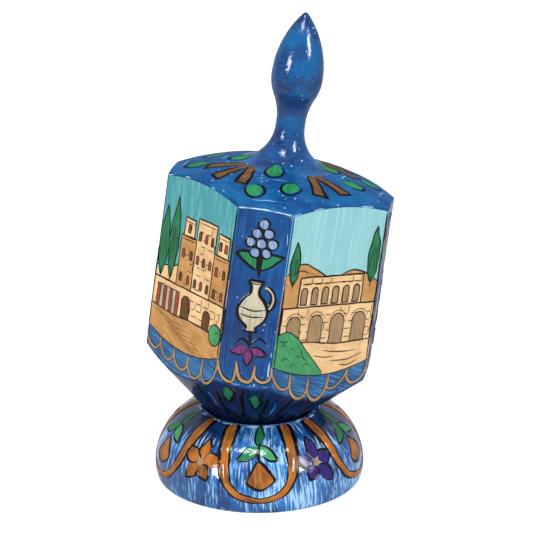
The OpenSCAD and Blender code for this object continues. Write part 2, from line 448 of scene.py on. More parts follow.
@dataclass
class DreidelForm:
    """The turned and faceted wood of the dreidel, upright on the sharp end of its cone."""

    flats: float = 51.7
    face_w: float = 31.5
    body_h: float = 46.9
    dome_r: float = 70.0
    cone_half: float = math.radians(48.3)
    tip_r: float = 2.2
    neck_r: float = 3.9
    neck_len: float = 1.5
    flare_r: float = 10.5
    cove_r: float = 14.3
    grip_r: float = 6.8
    belly_r: float = 12.0
    ogive_h: float = 17.0
    end_r: float = 0.9
    end_gap: float = 0.12
    edge_r: float = 0.9
    edge_set: float = 0.5
    face_steps: int = 22
    chamfer_steps: int = 10
    edge_steps: int = 4

    def __post_init__(self) -> None:
        """Work out the places that follow from the sizes."""
        flat, half = self.flats / 2, self.face_w / 2
        corner = math.hypot(flat, half)
        self.reach = (flat + half) / math.sqrt(2), flat
        self.half = (flat - half) / math.sqrt(2), half
        self.ease = self.edge_r * math.tan(EIGHTH / 2)
        self.corner_low = corner / math.tan(self.cone_half)
        self.corner_high = self.corner_low + self.body_h
        self.tip_mid = self.tip_r / math.sin(self.cone_half)
        self.dome_mid = self.corner_high - math.sqrt(self.dome_r ** 2 - corner ** 2)
        self.flare_x = self.neck_r + self.flare_r
        self.flare_foot = self.flare_x * self.dome_r / (self.dome_r + self.flare_r)
        self.neck_low = self.dome_mid + math.sqrt((self.dome_r + self.flare_r) ** 2 - self.flare_x ** 2)
        self.neck_high = self.neck_low + self.neck_len
        self.cove_x = self.neck_r + self.cove_r
        self.belly_x = self.grip_r - self.belly_r
        both = self.belly_r + self.cove_r
        self.grip_mid = self.neck_high + math.sqrt(both ** 2 - (self.cove_x - self.belly_x) ** 2)
        self.end_mid = self.grip_mid + self.ogive_h - self.end_r
        rise = self.end_mid - self.grip_mid
        self.ogive_r = (rise ** 2 + self.grip_r ** 2 - self.end_r ** 2) / (2 * (self.grip_r - self.end_r))

    def dome_z(self, radius: float) -> float:
        """Height of the domed top at a distance from the axis."""
        return self.dome_mid + math.sqrt(self.dome_r ** 2 - radius ** 2)

    def cone_z(self, radius: float) -> float:
        """Height of the cone's side at a distance from the axis."""
        return radius / math.tan(self.cone_half)

    def cone(self, x: float, y: float) -> Spot:
        """Give the cone's side and its outward direction at a place in plan."""
        level = math.cos(self.cone_half) / max(math.hypot(x, y), TINY)
        return (x, y, self.cone_z(math.hypot(x, y))), (x * level, y * level, -math.sin(self.cone_half))

    def top(self, x: float, y: float) -> Spot:
        """Follow the top, on the dome or on the flare.

        Args:
            x: The place in plan.
            y: The same, away from the first direction.

        Returns:
            The point and the outward direction.
        """
        radius = math.hypot(x, y)
        if radius >= self.flare_foot:
            level = math.sqrt(1 - (radius / self.dome_r) ** 2)
            return (x, y, self.dome_z(radius)), (x / self.dome_r, y / self.dome_r, level)
        in_part = max(self.flare_x - radius, 0.0) / self.flare_r
        up_part = math.sqrt(1 - in_part ** 2)
        out = in_part / max(radius, TINY)
        return (x, y, self.neck_low - self.flare_r * up_part), (x * out, y * out, up_part)

    def side(self, number: int, across: float) -> tuple[Pair, Pair]:
        """Follow the plan of one side, and the round of its upright edge past its end.

        Args:
            number: Even for a chamfer face, odd for a large face, counted from the front.
            across: Distance from the middle of the side, to the right as seen from outside.

        Returns:
            The place and the outward direction in plan.
        """
        turn = number * EIGHTH - QUARTER
        away = math.cos(turn), math.sin(turn)
        right = -away[1], away[0]
        end = self.half[number % 2] - self.ease
        past = abs(across) - end
        if past <= 0:
            reach = self.reach[number % 2]
            return (away[0] * reach + right[0] * across, away[1] * reach + right[1] * across), away
        bend = math.copysign(past / self.edge_r, across)
        middle, end = self.reach[number % 2] - self.edge_r, math.copysign(end, across)
        out = math.cos(turn + bend), math.sin(turn + bend)
        return tuple(away[i] * middle + right[i] * end + out[i] * self.edge_r for i in (0, 1)), out

    def plan(self) -> list[tuple[Pair, Pair]]:
        """Walk round the body once.

        Returns:
            Each place in plan with its outward direction.
        """
        walk = []
        for number in range(8):
            end = self.half[number % 2] - self.ease
            steps = self.face_steps if number % 2 else self.chamfer_steps
            stops = [-end + 2 * end * i / steps for i in range(steps + 1)]
            stops += [end + self.edge_r * EIGHTH * i / self.edge_steps for i in range(1, self.edge_steps)]
            walk += [self.side(number, stop) for stop in stops]
        return walk

    def stem_profile(self) -> list[Turned]:
        """Follow the stem's outline from the flare to its blunt end.

        Returns:
            Each place of the outline.
        """
        low = math.atan2(self.dome_mid - self.neck_low, -self.flare_x) + TURN
        meet = math.atan2(self.grip_mid - self.neck_high, self.belly_x - self.cove_x)
        ogive_x = self.grip_r - self.ogive_r
        close = math.atan2(self.end_mid - self.grip_mid, -ogive_x)
        return [*arc(self.flare_x, self.neck_low, self.flare_r, low, math.pi, 18, -1),
                (self.neck_r, self.neck_high, 1.0, 0.0),
                *arc(self.cove_x, self.neck_high, self.cove_r, math.pi, meet, 10, -1),
                *arc(self.belly_x, self.grip_mid, self.belly_r, meet - math.pi, 0.0, 10),
                *arc(ogive_x, self.grip_mid, self.ogive_r, 0.0, close, 22),
                *arc(0.0, self.end_mid, self.end_r, close, QUARTER - self.end_gap, 5)]


@dataclass
class StandForm:
    """The turned wood of the stand, on the table."""

    stand_r: float = 28.2
    side_r: float = 17.5
    waist_h: float = 3.5
    foot_in: float = 0.5
    foot_r: float = 1.0
    cup_r: float = 14.4
    lip_r: float = 1.2
    floor_z: float = 8.2285
    steps: int = 168

    def __post_init__(self) -> None:
        """Work out the places that follow from the sizes."""
        self.side_x = self.stand_r - self.side_r
        self.lip_x = self.cup_r + self.lip_r
        reach = self.side_r - self.lip_r
        self.lip_z = self.waist_h + math.sqrt(reach ** 2 - (self.lip_x - self.side_x) ** 2)
        self.lip_turn = math.atan2(self.lip_z - self.waist_h, self.lip_x - self.side_x)
        self.dome_len = self.side_r * self.lip_turn

    def side(self, up: float) -> Turned:
        """Follow the outside from the waist.

        Args:
            up: Distance along the outline above the waist, or below it where negative.

        Returns:
            The outline there.
        """
        if up < 0:
            return self.stand_r + self.foot_in * up / self.waist_h, self.waist_h + up, 1.0, 0.0
        turn = up / self.side_r
        return (self.side_x + self.side_r * math.cos(turn), self.waist_h + self.side_r * math.sin(turn),
                math.cos(turn), math.sin(turn))

    def rings(self) -> list[tuple[Turned, int]]:
        """Follow the whole outline from the middle of the underside to the middle of the cup.

        Returns:
            Each ring of the outline with the paint's number.
        """
        foot_x = self.stand_r - self.foot_in - self.foot_r
        deep = self.lip_z - self.floor_z
        lip = arc(self.lip_x, self.lip_z, self.lip_r, self.lip_turn, math.pi, 8)
        outside = [*arc(foot_x, self.foot_r, self.foot_r, -QUARTER, 0.0, 5),
                   *(self.side(up) for up in (-1.6, -0.8, 0.0)),
                   *(self.side(self.dome_len * i / 30) for i in range(1, 31)), *lip[:4]]
        cup = [*lip[4:], *((self.cup_r, self.lip_z - deep * i / 8, -1.0, 0.0) for i in range(1, 8)),
               (self.cup_r, self.floor_z + 0.02, -0.7, 0.7),
               *((r, self.floor_z, 0.0, 1.0) for r in (self.cup_r - 0.05, 11.0, 8.0, 5.0, 2.5, 1.0))]
        under = [(r, 0.0, 0.0, -1.0) for r in (1.0, 9.0, 18.0, foot_x)]
        return [(ring, coat) for coat, part in enumerate((under, outside, cup)) for ring in part]


class Chart:
    """A flat drawing sheet laid on a surface, in millimetres to the right and up as seen from outside."""

    first: float
    turn: float

    @property
    def key(self) -> float:
        """Give the number that sets this sheet's brush marks apart."""
        return self.first + 5 * self.turn

    def at(self, across: float, up: float) -> Spot:
        """Give the surface's point and outward direction below a place of the sheet."""
        raise NotImplementedError

    def place(self, across: float, up: float, lift: float, grain: Triple, lean: Pair = (0.0, 0.0)) -> Place:
        """Give a place above the surface.

        Args:
            across: Distance to the right.
            up: Distance up.
            lift: Height above the wood.
            grain: The brush's direction there.
            lean: How far the paint's own surface tips to the right and up.

        Returns:
            The point, its normal and the brush's direction.
        """
        point, normal = self.at(across, up)
        tip = Vector(normal)
        if lean != (0.0, 0.0):
            for near, share in (((across + PROBE, up), lean[0]), ((across, up + PROBE), lean[1])):
                tip += Vector([b - a for a, b in zip(point, self.at(*near)[0])]).normalized() * share
        return tuple(p + n * lift for p, n in zip(point, normal)), tuple(tip), grain


@dataclass
class WallChart(Chart):
    """A sheet on one upright side of the body, with its zero at the height of the lower corners."""

    form: DreidelForm
    number: int

    @property
    def key(self) -> float:
        """Give the number that sets this sheet's brush marks apart."""
        return 41.0 * self.number

    @property
    def half(self) -> float:
        """Give half the side's width."""
        return self.form.half[self.number % 2]

    def at(self, across: float, up: float) -> Spot:
        """Give the surface's point and outward direction below a place of the sheet."""
        (x, y), (i, j) = self.form.side(self.number, across)
        return (x, y, self.form.corner_low + up), (i, j, 0.0)

    def edge(self, height: Callable[[float], float], across: float) -> float:
        """Give the height on the sheet at which the side meets the surface above or below it."""
        away = math.hypot(self.form.reach[self.number % 2], min(abs(across), self.half))
        return height(away) - self.form.corner_low

    def top(self, across: float) -> float:
        """Give the height of the side's upper edge."""
        return self.edge(self.form.dome_z, across)

    def bottom(self, across: float) -> float:
        """Give the height of the side's lower edge."""
        return self.edge(self.form.cone_z, across)


@dataclass
class DomeChart(Chart):
    """A sheet on the domed top, with up towards the stem."""

    form: DreidelForm
    turn: float
    radius: float
    first: float = 17.0

    def at(self, across: float, up: float) -> Spot:
        """Give the surface's point and outward direction below a place of the sheet."""
        i, j, far = math.cos(self.turn), math.sin(self.turn), self.radius - up
        return self.form.top(i * far - j * across, j * far + i * across)


@dataclass
class ConeChart(Chart):
    """A sheet wrapped round the cone, with up away from the point."""

    form: DreidelForm
    turn: float
    radius: float
    first: float = 63.0

    def at(self, across: float, up: float) -> Spot:
        """Give the surface's point and outward direction below a place of the sheet."""
        radius = self.radius + up * math.sin(self.form.cone_half)
        return around(radius, self.turn + across / self.radius, self.form.cone_z(radius),
                      math.cos(self.form.cone_half), -math.sin(self.form.cone_half))


@dataclass
class StemChart(Chart):
    """A sheet wrapped round the stem, with up along the axis from the point of the cone."""

    form: DreidelForm
    turn: float
    first: float = 120.0 + 5 * QUARTER

    def __post_init__(self) -> None:
        """Keep the stem's outline as rows."""
        self.radii, self.heights, self.outs, self.rises = zip(*self.form.stem_profile())

    def at(self, across: float, up: float) -> Spot:
        """Give the surface's point and outward direction below a place of the sheet."""
        radius, out, rise = (np.interp(up, self.heights, row) for row in (self.radii, self.outs, self.rises))
        return around(float(radius), self.turn + across / self.form.grip_r, up, float(out), float(rise))


@dataclass
class StandChart(Chart):
    """A sheet wrapped round the stand, with its zero at the waist."""

    form: StandForm
    turn: float
    first: float = 90.0

    def at(self, across: float, up: float) -> Spot:
        """Give the surface's point and outward direction below a place of the sheet."""
        radius, height, out, rise = self.form.side(up)
        return around(radius, self.turn + across / self.form.stand_r, height, out, rise)


def spaced(points: Path, closed: bool = False, step: float = 0.6) -> list[Pair]:
    """Add places along straight lines between points.

    Args:
        points: The corners.
        closed: Whether the last joins the first.
        step: The largest distance between places.

    Returns:
        The places.
    """
    found = []
    ends = list(points[1:]) + ([points[0]] if closed else [])
    for (a, b), (c, d) in zip(points, ends):
        count = max(1, math.ceil(math.hypot(c - a, d - b) / step))
        found += [(a + (c - a) * i / count, b + (d - b) * i / count) for i in range(count)]
    return found if closed else found + [tuple(points[-1])]


def flowing(points: Path, closed: bool = False, step: float = 0.6) -> list[Pair]:
    """Draw a smooth curve through points.

    Args:
        points: Places that the curve passes.
        closed: Whether it returns to its start.
        step: The largest distance between places.

    Returns:
        The places along the curve.
    """
    count = len(points)
    found = []
    for k in range(count if closed else count - 1):
        near = [(k + i) % count if closed else min(max(k + i, 0), count - 1) for i in (-1, 0, 1, 2)]
        a, b, c, d = (points[i] for i in near)
        parts = max(2, math.ceil(math.hypot(c[0] - b[0], c[1] - b[1]) / step))
        for i in range(parts):
            t = i / parts
            found.append(tuple(
                0.5 * (2 * b[n] + (c[n] - a[n]) * t + (2 * a[n] - 5 * b[n] + 4 * c[n] - d[n]) * t ** 2
                       + (3 * b[n] - a[n] - 3 * c[n] + d[n]) * t ** 3) for n in (0, 1)))
    return found if closed else found + [tuple(points[-1])]


def moved(points: Path, x: float, y: float, turn: float = 0.0) -> list[Pair]:
    """Turn and then move a path."""
    cos, sin = math.cos(turn), math.sin(turn)
    return [(x + a * cos - b * sin, y + a * sin + b * cos) for a, b in points]


def oval(x: float, y: float, wide: float, high: float, tilt: float = 0.0, start: float = 0.0,
         sweep: float = TURN) -> list[Pair]:
    """Draw an oval or part of one, to the left from its start.

    Args:
        x: Its middle.
        y: The same, up.
        wide: Half its width.
        high: Half its height.
        tilt: How far it leans to the left, in radians.
        start: The turn at which it starts.
        sweep: How far round it goes.

    Returns:
        The places along it.
    """
    count = max(8, math.ceil(abs(sweep) * max(wide, high) / 0.5))
    stops = count if abs(sweep) >= TURN else count + 1
    turns = [start + sweep * i / count for i in range(stops)]
    return moved([(wide * math.cos(turn), high * math.sin(turn)) for turn in turns], x, y, tilt)


def leaf(x: float, y: float, length: float, width: float, turn: float, bend: float = 0.0) -> list[Pair]:
    """Draw a pointed leaf from its stalk.

    Args:
        x: The stalk's end.
        y: The same, up.
        length: The leaf's length.
        width: Its full width.
        turn: Its direction.
        bend: How far it bends sideways, as a share of its length.

    Returns:
        Its outline.
    """
    outline = []
    steps = max(6, math.ceil(length / 0.5))
    for side in (1, -1):
        for i in range(steps):
            t = i / steps if side > 0 else 1 - i / steps
            half = 0.5 * width * math.sin(math.pi * t ** 0.85) ** 0.9 * side
            outline.append((length * t, half + bend * length * math.sin(math.pi * t)))
    return moved(outline, x, y, turn)


class Brush:
    """Lays coats of paint on one chart and keeps one mesh for each colour."""

    # Across a stroke: place, height and tilt of its domed section
    section = ((-1.0, 0.0, -0.55), (-0.6, 0.75, -0.3), (0.0, 1.0, 0.0), (0.6, 0.75, 0.3), (1.0, 0.0, 0.55))

    def __init__(self, chart: Chart, seed: int) -> None:
        """Take what to paint on.

        Args:
            chart: The sheet on the surface.
            seed: A number for the hand's unevenness.
        """
        self.chart = chart
        self.form = chart.form
        self.seed = seed
        self.pots: dict[Paint, Draft] = {}
        self.level = GROUND
        self.pen = Paint.INK
        self.hold: Callable[[Pair], Pair] = lambda place: place

    def rise(self, coats: float = 1.0) -> None:
        """Let what comes next lie over what is there, by a number of coats."""
        self.level += COAT * coats

    def draft(self, paint: Paint) -> Draft:
        """Give the mesh of one colour."""
        return self.pots.setdefault(paint, Draft(paint))

    def uneven(self, points: Path, by: float) -> list[Pair]:
        """Shake a path as a hand does, and keep it on the sheet.

        Args:
            points: The path.
            by: The largest shift.

        Returns:
            The shaken path.
        """
        self.seed += 1
        pace, apart, layer = 0.35, 9.1, self.seed * 3.7
        found = []
        for x, y in points:
            aside, above = (noise(Vector((x * pace + far, y * pace, layer))) for far in (0.0, apart))
            found.append(self.hold((x + by * aside, y + by * above)))
        return found

    def area(self, paint: Paint, outline: Path, shake: float = 0.25, grid: float = 1.5,
             slant: float = 0.0) -> list[Pair]:
        """Fill an outline with paint.

        Args:
            paint: The colour.
            outline: The border, with places close together.
            shake: How uneven the border is.
            grid: The distance between places inside.
            slant: The brush's direction, in radians to the left of up.

        Returns:
            The border as it was laid.
        """
        rim = self.uneven(outline, shake)
        clean = [p for i, p in enumerate(rim) if math.dist(p, rim[i - 1]) > 0.02]
        places = [Vector(p) for p in clean + self.inner(clean, grid)]
        flat, _, corners, *_ = delaunay_2d_cdt(places, [], [list(range(len(clean)))], 1, 1e-4)
        draft = self.draft(paint)
        cos, sin = math.cos(slant), math.sin(slant)

        def put(spot: Vector, lift: float) -> int:
            """Add one place of the sheet at a height."""
            grain = (spot.x * cos + spot.y * sin, self.chart.key + self.seed, spot.y * cos - spot.x * sin)
            return draft.vertex(self.chart.place(spot.x, spot.y, lift, grain))

        top = [put(spot, self.level) for spot in flat]
        used = {}
        for triangle in corners:
            draft.face([top[i] for i in triangle])
            used.update(dict.fromkeys(zip(triangle, (*triangle[1:], triangle[0]))))
        foot: dict[int, int] = {}
        for i, j in used:
            if (j, i) in used:
                continue
            for k in (i, j):
                if k not in foot:
                    foot[k] = put(flat[k], AREA_FOOT)
            draft.face((top[j], top[i], foot[i], foot[j]))
        return rim

    @staticmethod
    def inner(rim: Path, grid: float) -> list[Pair]:
        """Find a grid of places well inside a border.

        Args:
            rim: The border.
            grid: The distance between places.

        Returns:
            The places inside.
        """
        border = np.array(rim)
        low, high = border.min(0), border.max(0)
        xs, ys = (np.arange(low[n] + grid / 2, high[n], grid) for n in (0, 1))
        if not len(xs) or not len(ys):
            return []
        spots = np.array(np.meshgrid(xs, ys)).reshape(2, -1).T
        a, b = border, np.roll(border, -1, 0)
        above = (a[None, :, 1] > spots[:, None, 1]) != (b[None, :, 1] > spots[:, None, 1])
        drop = np.where(np.abs(b[:, 1] - a[:, 1]) < 1e-9, 1e-9, b[:, 1] - a[:, 1])
        cross = (b[:, 0] - a[:, 0]) * (spots[:, None, 1] - a[:, 1]) / drop + a[:, 0]
        inside = (above & (spots[:, None, 0] < cross)).sum(1) % 2 == 1
        near = np.sqrt(((spots[:, None] - a) ** 2).sum(2)).min(1)
        return [tuple(map(float, p)) for p in spots[inside & (near > 0.45 * grid)]]

    def line(self, paint: Paint, path: Path, width: float, closed: bool = False, taper: float = 0.6,
             shake: float = 0.2, nib: float = 0.0, swell: Callable[[float], float] | None = None,
             over: float = 0.0) -> None:
        """Draw one stroke of the brush.

        Args:
            paint: The colour.
            path: The stroke's middle, with places close together.
            width: Its full width.
            closed: Whether it returns to its start.
            taper: How much thinner its ends are.
            shake: How uneven its course is.
            nib: How much thinner it is where it runs along the edge of a flat brush.
            swell: A factor for its width at each share of its length.
            over: How far it lies over the present level.
        """
        spine = self.uneven(path, shake)
        count = len(spine)
        lengths = [0.0]
        for first, second in zip(spine, spine[1:]):
            lengths.append(lengths[-1] + math.dist(second, first))
        whole = lengths[-1]
        if count < 3 or whole < 0.2:
            return
        draft = self.draft(paint)
        level, depth = self.level + over, min(0.05, 0.003 + 0.014 * width)
        rows = []
        for i, (x, y) in enumerate(spine):
            before = spine[i - 1] if i or closed else spine[i]
            after = spine[(i + 1) % count] if i < count - 1 or closed else spine[i]
            dx, dy = after[0] - before[0], after[1] - before[1]
            size = math.hypot(dx, dy) or 1.0
            dx, dy = dx / size, dy / size
            press = 1 + 0.28 * noise(Vector((lengths[i] * 0.3, self.seed * 1.9, 4.4)))
            press *= 1 - nib * (1 - abs(math.sin(math.atan2(dy, dx) - NIB_TURN)))
            if swell:
                press *= swell(lengths[i] / whole)
            if not closed:
                press *= self.fade(min(lengths[i], whole - lengths[i]), whole, width, taper)
            half = 0.5 * width * press
            row = []
            for out, high, tip in self.section:
                grain = (half * out, self.chart.key + self.seed, lengths[i])
                lift = level + depth * high if high else STROKE_FOOT
                a, b = x + dy * half * out, y - dx * half * out
                row.append(draft.vertex(self.chart.place(a, b, lift, grain, (dy * tip, -dx * tip))))
            rows.append(row)
        for low, high in zip(rows, rows[1:] + rows[:closed]):
            for k in range(len(self.section) - 1):
                draft.face((low[k], low[k + 1], high[k + 1], high[k]))

    @staticmethod
    def fade(from_end: float, whole: float, width: float, taper: float) -> float:
        """Give the share of a stroke's width that is left towards its blunt, thinner ends."""
        blunt = min(1.0, 0.35 + from_end / (0.6 * width))
        return blunt * (1 - taper * max(0.0, 1 - from_end / (0.35 * whole)) ** 1.5)

    def ink(self, path: Path, width: float = 0.3, taper: float = 0.5, nib: float = 0.0, shake: float = 0.12,
            closed: bool = False) -> None:
        """Draw one stroke of ink a little over the coat that was laid last, as line does."""
        self.line(self.pen, path, width, closed, taper, shake, nib, over=INK_RISE)

    def outlined(self, paint: Paint, outline: Path, width: float = 0.4, shake: float = 0.2,
                 gap: float = 0.0, slant: float = 0.0, nib: float = 0.0) -> None:
        """Fill an outline and ink its border.

        Args:
            paint: The colour inside.
            outline: The border.
            width: The ink line's width.
            shake: How uneven the border is.
            gap: The share of the border left without ink.
            slant: The brush's direction inside.
            nib: How much the ink line thins along the edge of a flat brush.
        """
        rim = self.area(paint, outline, shake, slant=slant)
        part = rim[:max(4, int(len(rim) * (1 - gap)))] if gap else rim
        self.ink(part, width, nib=nib, closed=not gap)

    def paint(self) -> None:
        """Lay on all that this brush paints."""
        raise NotImplementedError

    def build(self, title: str, body: str, to_frame: Matrix) -> None:
        """Paint, and make one piece for each colour.

        Args:
            title: What the pieces' names start with.
            body: The body that they move with.
            to_frame: From the form's millimetres to the frame's metres.
        """
        self.paint()
        for paint, draft in self.pots.items():
            draft.build(f"{title}_{paint.name.lower()}", body, to_frame)


class Scene(Enum):
    """The four pictures on the large faces, with the number of the side that each is on."""

    AQUEDUCT = 1
    PALMS = 3
    TERRACES = 5
    HILL_TOWN = 7


class Picture(Brush):
    """A landscape on one large face, above its blue band."""

    def __init__(self, form: DreidelForm, scene: Scene) -> None:
        """Take what to paint.

        Args:
            form: The wood.
            scene: The picture.
        """
        super().__init__(WallChart(form, scene.value), 100 * scene.value)
        self.scene = scene
        self.wide = form.half[1] + 0.12
        self.edge = form.edge_set + 0.1
        self.hold = self.held
        self.dice = random.Random(scene.value)

    def floor(self, across: float) -> float:
        """Give the height of the picture's lower border."""
        return 6.1 - 3.3 * max(0.0, 1 - (across / self.wide) ** 2)

    def held(self, place: Pair) -> Pair:
        """Keep a place inside the picture."""
        across = min(max(place[0], -self.wide), self.wide)
        return across, min(max(place[1], self.floor(across)), self.chart.top(across) - self.edge)

    def open_line(self, path: Path, width: float) -> None:
        """Ink the stretches of a path that lie inside the picture's borders.

        Args:
            path: The path.
            width: The ink line's width.
        """
        run: list[Pair] = []
        outside = (99.0, 0.0)
        for x, y in [*path, outside]:
            if abs(x) < self.wide - 0.2 and self.floor(x) + 0.15 < y < self.chart.top(x) - 1.0:
                run.append((x, y))
                continue
            if len(run) > 3:
                self.ink(run, width, taper=0.3)
            run = []

    def sky(self, paint: Paint) -> None:
        """Cover the whole picture with the sky.

        Args:
            paint: The sky's colour.
        """
        wide, low_end, high_end = self.wide, 6.5, 46.0
        across = [-wide + 2 * wide * i / 50 for i in range(51)]
        climb = [(high_end - low_end) * i / 40 for i in range(1, 41)]
        self.area(paint, [*((x, 0.0) for x in across), *((wide, low_end + up) for up in climb),
                          *((-x, 60.0) for x in across), *((-wide, high_end - up) for up in climb)], 0.12)
        self.rise(0.6)

    def land(self, paint: Paint, ridge: Path, ink: float = 0.6, slant: float = 1.2) -> None:
        """Cover everything below a ridge line.

        Args:
            paint: The land's colour.
            ridge: Places of the ridge.
            ink: The width of its ink line.
            slant: The brush's direction.
        """
        crest = flowing(ridge)
        left, right = ((x + math.copysign(abs(x) > 15, x), y) for x, y in (crest[0], crest[-1]))
        below = spaced([right, (right[0], 0.0), (left[0], 0.0), left])
        self.area(paint, crest + below, 0.2, slant=slant)
        self.open_line(crest, ink)
        self.rise()

    def marks(self, *paths: Path, width: float = 0.44) -> None:
        """Ink several smooth strokes."""
        for path in paths:
            self.ink(flowing(path), width, taper=0.6)

    def tufts(self, *places: Pair) -> None:
        """Ink small blades of grass at several places."""
        for x, y in places:
            self.marks([(x - 0.9, y - 0.2), (x, y + 0.7), (x + 1.0, y)], width=0.32)

    def box(self, paint: Paint, plot: Plot, ink: float = 0.6, shake: float = 0.15,
            slant: float = 1.4) -> None:
        """Paint a plain upright wall.

        Args:
            paint: Its colour.
            plot: Its place.
            ink: The ink line's width.
            shake: How uneven its border is.
            slant: The brush's direction.
        """
        x, y, wide, high = plot
        corners = [(x, y), (x + wide, y), (x + wide, y + high), (x, y + high)]
        self.outlined(paint, spaced(corners, closed=True), ink, shake, slant=slant)

    def house(self, paint: Paint, plot: Plot, rows: int, columns: int) -> None:
        """Paint a flat-roofed house with a parapet and rows of small arched windows.

        Args:
            paint: The walls' colour.
            plot: Its place.
            rows: How many rows of windows it has.
            columns: How many windows each row has.
        """
        x, y, wide, high = plot
        self.box(paint, plot)
        self.ink(spaced([(x + 0.2, y + high - 1.0), (x + wide - 0.2, y + high - 0.9)]), 0.38, shake=0.1)
        self.stones((x, y, wide, high - 1.2), 0.55)
        self.rise()
        for row in range(rows):
            for column in range(columns):
                a = x + wide * (column + 0.5) / columns
                b = y + (high - 1.6) * (row + 0.35) / rows
                self.arch(Paint.BRICK if (row + column) % 2 else Paint.BROWN, (a, b, 1.1, 2.3), 0.4)
        self.rise(-1)

    def arch(self, paint: Paint, plot: Plot, ink: float = 0.55) -> None:
        """Paint an arched opening.

        Args:
            paint: The colour inside.
            plot: Its lower middle, width and height.
            ink: The ink line's width.
        """
        x, y, wide, high = plot
        half = wide / 2
        shoulder = y + high - half
        path = spaced([(x - half, y), (x + half, y), (x + half, shoulder)], step=0.3)
        path += oval(x, shoulder, half, half, start=0.0, sweep=math.pi)[1:]
        path += spaced([(x - half, shoulder), (x - half, y)], step=0.3)[1:-1]
        self.outlined(paint, path, ink, 0.06, slant=0.3)

    def stones(self, plot: Plot, share: float) -> None:
        """Ink loose courses of stone.

        Args:
            plot: The wall's place.
            share: How much of it shows them.
        """
        x, y, wide, high = plot
        rows = max(1, round(high / 2.0))
        draw = self.dice.uniform
        for row in range(1, rows):
            level = y + high * row / rows
            start = x + 0.4 + draw(0.0, 2.0)
            while start < x + wide - 1.4:
                stop = min(start + draw(1.4, 3.2), x + wide - 0.4)
                if self.dice.random() < share:
                    self.ink(spaced([(start, level), (stop, level + draw(-0.1, 0.1))]), 0.4, shake=0.1)
                    if self.dice.random() < 0.6:
                        joint = spaced([(stop, level), (stop, level + high / rows)], step=0.3)
                        self.ink(joint, 0.36, shake=0.08)
                start = stop + draw(0.3, 1.0)

    def cypress(self, plot: Plot) -> None:
        """Paint a tall pointed tree with upward brush marks.

        Args:
            plot: Its foot, width and height.
        """
        x, y, wide, high = plot
        self.ink(spaced([(x, y), (x, y + 0.2 * high)]), 0.6, shake=0.1)
        self.outlined(Paint.LEAF, leaf(x, y + 0.08 * high, 0.92 * high, wide, QUARTER), 0.65, 0.3, nib=0.3)
        for share in (-0.2, 0.04, 0.22):
            self.marks([(x + share * wide, y + 0.26 * high), (x + share * wide * 1.4, y + 0.42 * high),
                        (x + share * wide * 0.5, y + 0.66 * high)], width=0.32)

    def tree(self, paint: Paint, plot: Plot) -> None:
        """Paint a round tree or bush with small leaf marks.

        Args:
            paint: Its colour.
            plot: Its middle, width and height.
        """
        x, y, wide, high = plot
        count = max(24, int(3 * (wide + high)))
        rim = []
        for turn in (TURN * i / count for i in range(count)):
            swell = 0.96 + 0.09 * abs(math.sin(turn * 4.5))
            rim.append((x + wide / 2 * swell * math.cos(turn), y + high / 2 * swell * math.sin(turn)))
        self.outlined(paint, spaced(rim, closed=True, step=0.5), 0.62, 0.15, nib=0.3)
        for _ in range(int(wide * high / 6)):
            turn, far = self.dice.uniform(0, TURN), self.dice.uniform(0.1, 0.7)
            a, b = x + wide / 2 * far * math.cos(turn), y + high / 2 * far * math.sin(turn)
            self.ink(oval(a, b, 0.55, 0.45, start=0.3, sweep=2.2), 0.26, shake=0.05)

    def palm(self, x: float, top: float, bend: float) -> None:
        """Paint a palm with a bent trunk and a crown of drooping leaves.

        Args:
            x: Its foot.
            top: Its height.
            bend: How far its crown stands aside.
        """
        foot = 13.0
        trunk = flowing([(x, foot), (x + bend * 0.25, foot + 0.5 * (top - foot)), (x + bend, top)])
        self.ink(trunk, 1.7, taper=0.25)
        self.rise()
        self.line(Paint.BROWN, trunk, 1.0, taper=0.25)
        self.rise()
        for k in range(7):
            blade = leaf(x + bend, top, 6.2, 1.9, math.radians(-30 + 40 * k), 0.16 if k < 3 else -0.16)
            self.outlined(Paint.LEAF if k % 2 else Paint.LEAF_PALE, blade, 0.32, 0.1)

    def awning(self, plot: Plot, stripes: int) -> None:
        """Paint a striped cloth in brick and cream.

        Args:
            plot: Its place.
            stripes: How many stripes it has.
        """
        x, y, wide, high = plot
        step = wide / stripes
        for k in range(stripes):
            self.box(Paint.CREAM if k % 2 else Paint.BRICK, (x + step * k, y, step, high), 0.42, 0.08, 0.0)

    def paint(self) -> None:
        """Paint the chosen scene and ink its borders."""
        {Scene.AQUEDUCT: self.aqueduct, Scene.PALMS: self.palms,
         Scene.TERRACES: self.terraces, Scene.HILL_TOWN: self.hill_town}[self.scene]()
        self.hold = lambda place: place
        span = self.wide
        self.rise(0.3)
        across = (-span + 2 * span * i / 60 for i in range(61))
        self.line(Paint.INK, [(x, self.floor(x)) for x in across], 0.36, taper=0.2, shake=0.1)
        for x, top in ((span - 0.45, 45.0), (0.45 - span, 27.0)):
            self.line(Paint.INK, spaced([(x, 6.2), (x, top)]), 0.5, taper=0.4)

